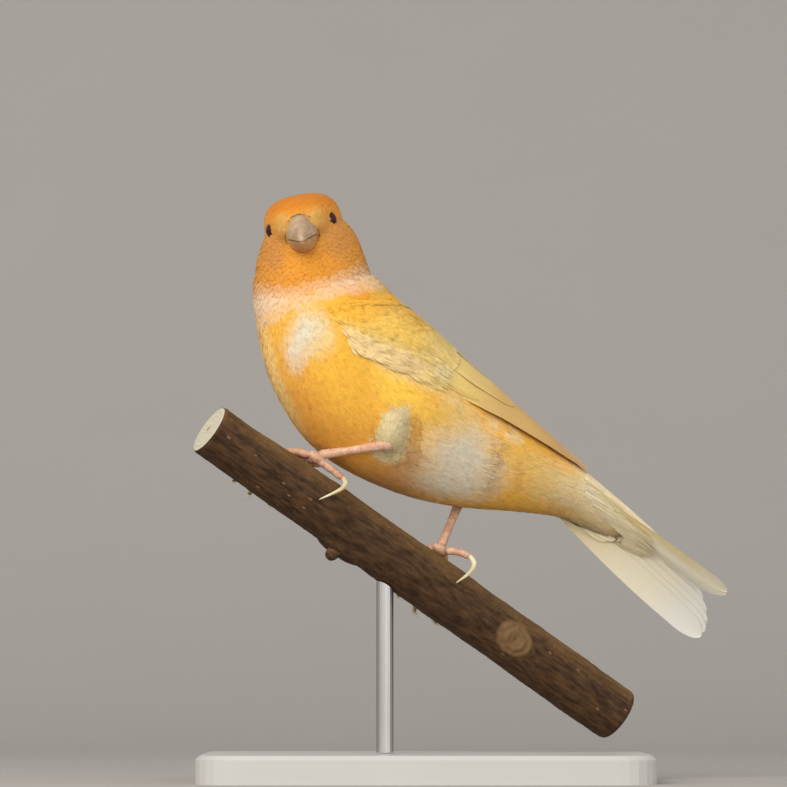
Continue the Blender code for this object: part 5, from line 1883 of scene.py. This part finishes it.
@dataclass(frozen=True)
class Plumage(Finish):
    """Body feathers: matt keratin barbs, which scatter light softly and glow a little at the rim."""

    name: str = "contour_feathers"
    roughness: float = 0.8
    sheen: float = 0.05
    fleck_mm: float = 0.5

    def sockets(self, add: Adder) -> dict:
        """The plumage's own markings, with faint flecks."""
        place = add("TexCoord", gives="Object")
        fleck = add("TexNoise", {"Vector": place, "Scale": per_mm(self.fleck_mm), "Detail": 3.0})
        span = {"From Min": 0.25, "From Max": 0.75, "To Min": 0.90, "To Max": 1.08}
        shade = add("MapRange", {"Value": fleck, **span})
        colour = add("Attribute", attribute_name=COLOUR)
        tinted = add("VectorMath", {0: colour, 1: shade}, operation="MULTIPLY")
        return {
            "Base Color": tinted, "Roughness": self.roughness, "IOR": 1.54, "Sheen Weight": self.sheen,
            "Sheen Roughness": 0.5, "Specular IOR Level": 0.06,
        }


@dataclass(frozen=True)
class FlightFeather(Finish):
    """Flight feathers: smoother keratin vanes, with barbs that slant from a pale shaft."""

    name: str = "vane_feathers"
    barb_mm: float = 0.42
    slant: float = 0.75
    shaft_mm: float = 0.2
    shaft: str = "#F4E8CC"

    def sockets(self, add: Adder) -> dict:
        """Barbs and shaft. Real barbs are 0.2 mm apart, drawn twice as coarse so that they show."""
        spread = add("UVMap", uv_map="vane")
        along, across = (add("SeparateXYZ", {"Vector": spread}, gives=axis) for axis in "XY")
        aside = add("Math", {0: across}, operation="ABSOLUTE")
        lean = add("Math", {0: aside, 1: -1.0 / self.slant, 2: along}, operation="MULTIPLY_ADD")
        turns = add("Math", {0: lean, 1: 2 * math.pi / self.barb_mm}, operation="MULTIPLY")
        wave = add("Math", {0: turns}, operation="SINE")
        span = {"From Min": self.shaft_mm, "From Max": 0.5 * self.shaft_mm, "To Max": 0.22}
        near = add("MapRange", {"Value": aside, **span})
        span = {"From Min": -1.0, "From Max": 1.0, "To Min": 0.96, "To Max": 1.02}
        lines = add("MapRange", {"Value": wave, **span})
        colour = add("Attribute", attribute_name=COLOUR)
        barbed = add("VectorMath", {0: colour, 1: lines}, operation="MULTIPLY")
        return {
            "Base Color": add("Mix", {0: near, 6: barbed, 7: rgba(self.shaft)}, **MIX),
            "Roughness": 0.65, "IOR": 1.54, "Sheen Weight": 0.05, "Specular IOR Level": 0.15,
            "Normal": add("Bump", {"Height": wave, "Strength": 0.25, "Distance": 0.05 * MM}),
        }


@dataclass(frozen=True)
class Horn(Finish):
    """Horn of the bill and claws: smooth keratin, a little see-through, with fine growth lines."""

    name: str
    pale: str
    deep: str
    grain_mm: float = 0.5
    roughness: float = 0.42

    def sockets(self, add: Adder) -> dict:
        """Growth lines and clouds between the pale and the deep colour."""
        place = add("TexCoord", gives="Object")
        drawn = add("Mapping", {"Vector": place, "Scale": (1.0, 0.25, 1.0)})
        streak = add("TexNoise", {"Vector": drawn, "Scale": per_mm(self.grain_mm), "Detail": 4.0})
        cloud = add("TexNoise", {"Vector": place, "Scale": per_mm(3.5), "Detail": 2.0})
        share = add("Math", {0: streak, 1: 0.6, 2: cloud}, operation="MULTIPLY_ADD")
        placed = add("MapRange", {"Value": share, "From Min": 0.6, "From Max": 1.05})
        return {
            "Base Color": add("Mix", {0: placed, 6: rgba(self.pale), 7: rgba(self.deep)}, **MIX),
            "Roughness": self.roughness, "IOR": 1.54,
            "Normal": add("Bump", {"Height": streak, "Strength": 0.35, "Distance": 0.06 * MM}),
        }


@dataclass(frozen=True)
class ScalySkin(Finish):
    """Bare skin of the legs and lids: thin horny plates over flesh, with a dull soft gloss."""

    name: str = "scaly_skin"
    pale: str = "#E0BC9C"
    deep: str = "#B97F63"
    plate_mm: float = 0.7

    def sockets(self, add: Adder) -> dict:
        """Plates with grooves between them, and soft clouds of the deeper colour."""
        place = add("TexCoord", gives="Object")
        plates = {"Vector": place, "Scale": per_mm(self.plate_mm)}
        cells = add("TexVoronoi", plates, feature="DISTANCE_TO_EDGE")
        groove = add("MapRange", {"Value": cells, "From Max": 0.12})
        cloud = add("TexNoise", {"Vector": place, "Scale": per_mm(1.8), "Detail": 3.0})
        share = add("Math", {0: groove, 1: -0.35, 2: cloud}, operation="MULTIPLY_ADD")
        placed = add("MapRange", {"Value": share, "From Min": -0.1, "From Max": 0.6})
        return {
            "Base Color": add("Mix", {0: placed, 6: rgba(self.pale), 7: rgba(self.deep)}, **MIX),
            "Roughness": 0.5, "IOR": 1.45,
            "Normal": add("Bump", {"Height": groove, "Strength": 0.5, "Distance": 0.05 * MM}),
        }


@dataclass(frozen=True)
class WetEye(Finish):
    """A bird's dark brown eye behind a clear wet cornea, which gives a small sharp highlight."""

    name: str = "dark_eye"
    colour: str = "#2A1008"
    cloud: str = "#451C0C"

    def sockets(self, add: Adder) -> dict:
        """A clouded iris under a clear coat."""
        place = add("TexCoord", gives="Object")
        cloud = add("TexNoise", {"Vector": place, "Scale": per_mm(0.6), "Detail": 2.0})
        return {
            "Base Color": add("Mix", {0: cloud, 6: rgba(self.colour), 7: rgba(self.cloud)}, **MIX),
            "Roughness": 0.2, "IOR": 1.38, "Specular IOR Level": 0.1,
            "Coat Weight": 0.6, "Coat Roughness": 0.03, "Coat IOR": 1.34,
        }


@dataclass(frozen=True)
class Bark(Finish):
    """Young bark, dark brown and matt, with pale corky pores and a painted olive sheen on top where the light
    falls.
    """

    name: str = "young_bark"
    dark: str = "#301F12"
    mid: str = "#573D25"
    painted_top_sheen: str = "#A8824F"
    pore: str = "#785A34"
    heart: str = "#725738"
    pore_mm: float = 2.6
    furrow_mm: float = 0.9

    def sockets(self, add: Adder) -> dict:
        """Furrows along the branch, painted sheen where it faces up, pores, and the healed knot's wood."""
        turn = Vector(PERCH_WAY).to_track_quat("X", "Z").inverted().to_euler()
        place = add("TexCoord", gives="Object")
        turned = add("Mapping", {"Vector": place, "Rotation": tuple(turn)})
        drawn = add("Mapping", {"Vector": turned, "Scale": (0.22, 1.0, 1.0)})
        grain = {"Scale": per_mm(self.furrow_mm), "Detail": 5.0, "Roughness": 0.6}
        furrow = add("TexNoise", {"Vector": drawn, **grain})
        wood = add("MapRange", {"Value": furrow, "From Min": 0.36, "From Max": 0.66})
        ground = add("Mix", {0: wood, 6: rgba(self.dark), 7: rgba(self.mid)}, **MIX)
        # Painted sheen: lighter olive, in clouds, where the bark faces up towards the light.
        high = add("SeparateXYZ", {"Vector": add("NewGeometry", gives="Normal")}, gives="Z")
        upper = add("MapRange", {"Value": high, "From Min": 0.2, "From Max": 0.95, "To Max": 0.8})
        cloud = add("TexNoise", {"Vector": place, "Scale": per_mm(9.0), "Detail": 4.0})
        share = add("Math", {0: upper, 1: cloud}, operation="MULTIPLY")
        with_top_sheen = add("Mix", {0: share, 6: ground, 7: rgba(self.painted_top_sheen)}, **MIX)
        wide = add("Mapping", {"Vector": turned, "Scale": (0.55, 1.0, 1.0)})
        pores = add("TexVoronoi", {"Vector": wide, "Scale": per_mm(self.pore_mm), "Randomness": 1.0})
        spot = add("MapRange", {"Value": pores, "From Min": 0.14, "From Max": 0.08})
        dotted = add("Mix", {0: spot, 6: with_top_sheen, 7: rgba(self.pore)}, **MIX)
        knot = add("SeparateColor", {"Color": add("Attribute", attribute_name=COLOUR)})
        height = add("Math", {0: spot, 1: 0.5, 2: furrow}, operation="MULTIPLY_ADD")
        return {
            "Base Color": add("Mix", {0: knot, 6: dotted, 7: rgba(self.heart)}, **MIX),
            "Roughness": 0.8, "Specular IOR Level": 0.2,
            "Normal": add("Bump", {"Height": height, "Strength": 0.7, "Distance": 0.25 * MM}),
        }


@dataclass(frozen=True)
class SawnWood(Finish):
    """A fresh saw cut across pale wood: growth rings, a darker pith and fine saw marks."""

    name: str = "sawn_wood"
    pale: str = "#C3BBA6"
    ring: str = "#B3A488"
    pith: str = "#8E7654"
    rind: str = "#5A4633"
    ring_mm: float = 1.25

    def sockets(self, add: Adder) -> dict:
        """Rings about the pith, from how far each point is from it, and the bark's dark rind."""
        place = add("TexCoord", gives="Object")
        reach = add("SeparateColor", {"Color": add("Attribute", attribute_name=COLOUR)})
        wander = add("TexNoise", {"Vector": place, "Scale": per_mm(3.0), "Detail": 2.0})
        pushed = add("Math", {0: wander, 1: 1.1, 2: reach}, operation="MULTIPLY_ADD")
        turns = add("Math", {0: pushed, 1: 2 * math.pi / self.ring_mm}, operation="MULTIPLY")
        wave = add("Math", {0: turns}, operation="SINE")
        colour = rgba(self.pale)
        for value, start, end, most, code in (
            (wave, 0.2, 1.0, 0.7, self.ring),
            (reach, 0.9, 0.5, 0.8, self.pith),
            (reach, PERCH_RADIUS - 1.1, PERCH_RADIUS - 0.9, 0.75, self.rind),
        ):
            share = add("MapRange", {"Value": value, "From Min": start, "From Max": end, "To Max": most})
            colour = add("Mix", {0: share, 6: colour, 7: rgba(code)}, **MIX)
        saw = add("TexNoise", {"Vector": place, "Scale": per_mm(0.4), "Detail": 3.0})
        bump = add("Bump", {"Height": saw, "Strength": 0.4, "Distance": 0.08 * MM})
        return {"Base Color": colour, "Roughness": 0.85, "Normal": bump}


@dataclass(frozen=True)
class PaintedBoard(Finish):
    """Sprayed satin lacquer on fine fibreboard: pale, even, with a faint orange-peel ripple."""

    name: str = "satin_lacquer"
    colour: str = "#C4C1BB"
    cloud: str = "#BAB6AF"
    ripple_mm: float = 0.9

    def sockets(self, add: Adder) -> dict:
        """A rippled coat, in places a little paler and less worn."""
        place = add("TexCoord", gives="Object")
        ripple = add("TexNoise", {"Vector": place, "Scale": per_mm(self.ripple_mm), "Detail": 2.0})
        cloud = add("TexNoise", {"Vector": place, "Scale": per_mm(30.0), "Detail": 3.0})
        return {
            "Base Color": add("Mix", {0: cloud, 6: rgba(self.colour), 7: rgba(self.cloud)}, **MIX),
            "Roughness": add("MapRange", {"Value": cloud, "To Min": 0.36, "To Max": 0.5}), "IOR": 1.5,
            "Normal": add("Bump", {"Height": ripple, "Strength": 0.12, "Distance": 0.05 * MM}),
        }


@dataclass(frozen=True)
class BrushedSteel(Finish):
    """Drawn stainless rod, brushed along its length: grey metal with soft stretched highlights."""

    name: str = "brushed_stainless_steel"
    colour: str = "#B4B2AE"
    scratch_mm: float = 0.25

    def sockets(self, add: Adder) -> dict:
        """Long scratches in the metal's height and gloss."""
        place = add("TexCoord", gives="Object")
        drawn = add("Mapping", {"Vector": place, "Scale": (1.0, 1.0, 0.03)})
        scratch = add("TexNoise", {"Vector": drawn, "Scale": per_mm(self.scratch_mm), "Detail": 4.0})
        return {
            "Base Color": rgba(self.colour), "Metallic": 1.0,
            "Roughness": add("MapRange", {"Value": scratch, "To Min": 0.26, "To Max": 0.46}),
            "Normal": add("Bump", {"Height": scratch, "Strength": 0.2, "Distance": 0.03 * MM}),
        }


@dataclass(frozen=True)
class Mouth(Finish):
    """Painted shade in the line between the two halves of the bill: a thin dark brown sheet with a moist gloss.
    """

    name: str = "mouth_line_shade"
    colour: str = "#9A7052"
    cloud: str = "#A87E60"

    def sockets(self, add: Adder) -> dict:
        """Soft clouds of two close colours."""
        place = add("TexCoord", gives="Object")
        cloud = add("TexNoise", {"Vector": place, "Scale": per_mm(0.8), "Detail": 2.0})
        mixed = add("Mix", {0: cloud, 6: rgba(self.colour), 7: rgba(self.cloud)}, **MIX)
        return {"Base Color": mixed, "Roughness": 0.4, "IOR": 1.4}


@dataclass(frozen=True)
class BackdropPaper(Finish):
    """Heavy matt studio paper in a warm grey, very slightly uneven."""

    name: str = "matt_backdrop_paper"
    colour: str = "#AEA9A3"
    cloud: str = "#ABA6A0"

    def sockets(self, add: Adder) -> dict:
        """Wide clouds of two close greys."""
        place = add("TexCoord", gives="Object")
        cloud = add("TexNoise", {"Vector": place, "Scale": per_mm(60.0), "Detail": 3.0})
        mixed = add("Mix", {0: cloud, 6: rgba(self.colour), 7: rgba(self.cloud)}, **MIX)
        return {"Base Color": mixed, "Roughness": 0.95, "Specular IOR Level": 0.1}


@dataclass(frozen=True)
class Studio:
    """A plain pale floor that curves up behind, soft light from the upper left, and the camera."""

    distance: float = 950.0
    aim: tuple[float, float, float] = (-7.33, 0.0, 89.88)
    look_up_deg: float = 4.0
    image_px: int = 787
    px_per_mm: float = 4.3
    sensor: float = 36.0

    def floor(self) -> None:
        """The floor and backdrop, one sheet with a wide curve between them."""
        half, front, curve, radius = 1500.0, -1400.0, 420.0, 500.0
        line = [(front, 0.0), (curve, 0.0)]
        for turn in np.radians(np.linspace(4, 90, 24)):
            line.append((curve + radius * math.sin(turn), radius * (1 - math.cos(turn))))
        line.append((curve + radius, 2600.0))
        points = [(x * MM, y * MM, z * MM) for y, z in line for x in (-half, half)]
        data = bpy.data.meshes.new("backdrop")
        data.from_pydata(points, [], grid_faces(len(line), 2, False))
        data.shade_smooth()
        data.materials.append(BackdropPaper().material())
        sheet = bpy.data.objects.new("backdrop", data)
        bpy.context.scene.collection.objects.link(sheet)

    def light(self, name: str, place: tuple, watts: float, colour: str) -> None:
        """One soft square lamp, 900 mm wide, that points at the bird."""
        lamp = bpy.data.lights.new(name, "AREA")
        lamp.size = 900.0 * MM
        lamp.energy = watts
        lamp.color = linear(colour).tolist()
        made = bpy.data.objects.new(name, lamp)
        made.location = Vector(place) * MM
        toward = Vector(self.aim) - Vector(place)
        made.rotation_euler = toward.to_track_quat("-Z", "Y").to_euler()
        bpy.context.scene.collection.objects.link(made)

    def build(self) -> None:
        """Makes the floor, the lamps, the world's even light and the camera."""
        self.floor()
        self.light("key", (-480.0, -760.0, 620.0), 9.6, "#FFFCF6")
        self.light("fill", (620.0, -900.0, 120.0), 5.6, "#FFFFFF")
        world = bpy.data.worlds.new("studio")
        world.use_nodes = True
        background = world.node_tree.nodes["Background"]
        background.inputs["Color"].default_value = rgba("#F4F6F9")
        background.inputs["Strength"].default_value = 0.7
        scene = bpy.context.scene
        scene.world = world
        scene.view_settings.view_transform = "Standard"
        lens = bpy.data.cameras.new("camera")
        lens.sensor_width = self.sensor
        lens.lens = self.sensor * self.distance * self.px_per_mm / self.image_px
        lens.clip_start, lens.clip_end = 0.05, 20.0
        camera = bpy.data.objects.new("camera", lens)
        turn = math.radians(self.look_up_deg)
        back = Vector((0.0, -math.cos(turn), -math.sin(turn)))
        camera.location = (Vector(self.aim) + back * self.distance) * MM
        camera.rotation_euler = (math.radians(90.0 + self.look_up_deg), 0.0, 0.0)
        scene.collection.objects.link(camera)
        scene.camera = camera


class Stand:
    """The frame's own base and rod, with their finishes. Their edges over 40 degrees stay crisp."""

    CREASE_DEG = 40.0

    def dress(self, finishes: dict[str, Finish]) -> None:
        """Gives each node, by name, its finish."""
        for node, finish in finishes.items():
            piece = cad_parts[node]
            piece.data.materials.clear()
            piece.data.materials.append(finish.material())
            piece.data.set_sharp_from_angle(angle=math.radians(self.CREASE_DEG))
            logger.info("%s: finished in %s", node, finish.name)


def main() -> None:
    logging.basicConfig(level=logging.INFO, format="%(message)s")
    Studio().build()
    soft, vaned = Plumage().material(), FlightFeather().material()
    trunk, markings = Trunk(), Markings()
    flesh = Flesh(trunk, markings)
    build("skin", flesh.skin(), soft, Slot.BODY, "head", "neck", "torso", "thigh_left", "thigh_right")
    Coat(flesh, markings).build(soft)
    for side in Side:
        Wing(trunk, side).build(vaned, soft)
    Tail().build(vaned, soft)
    upper = Horn("bill_keratin", "#C0A588", "#9E7D5C")
    # Darker and browner than the upper bill: partly the lower bill's own horn, partly painted shade under the
    # upper bill.
    lower = Horn("lower_bill_keratin_in_shade", "#C59563", "#9A6C44")
    Bill().build(upper.material(), lower.material(), Mouth().material(), soft)
    scaly = ScalySkin().material()
    Eyes().build(WetEye().material(), scaly)
    Feet().build(scaly, Horn("claw_keratin", "#E6DDBA", "#C9B688").material())
    Branch().build(Bark().material(), SawnWood().material())
    Stand().dress({"stand_base": PaintedBoard(), "stand_rod": BrushedSteel()})


if __name__ == "__main__":
    main()
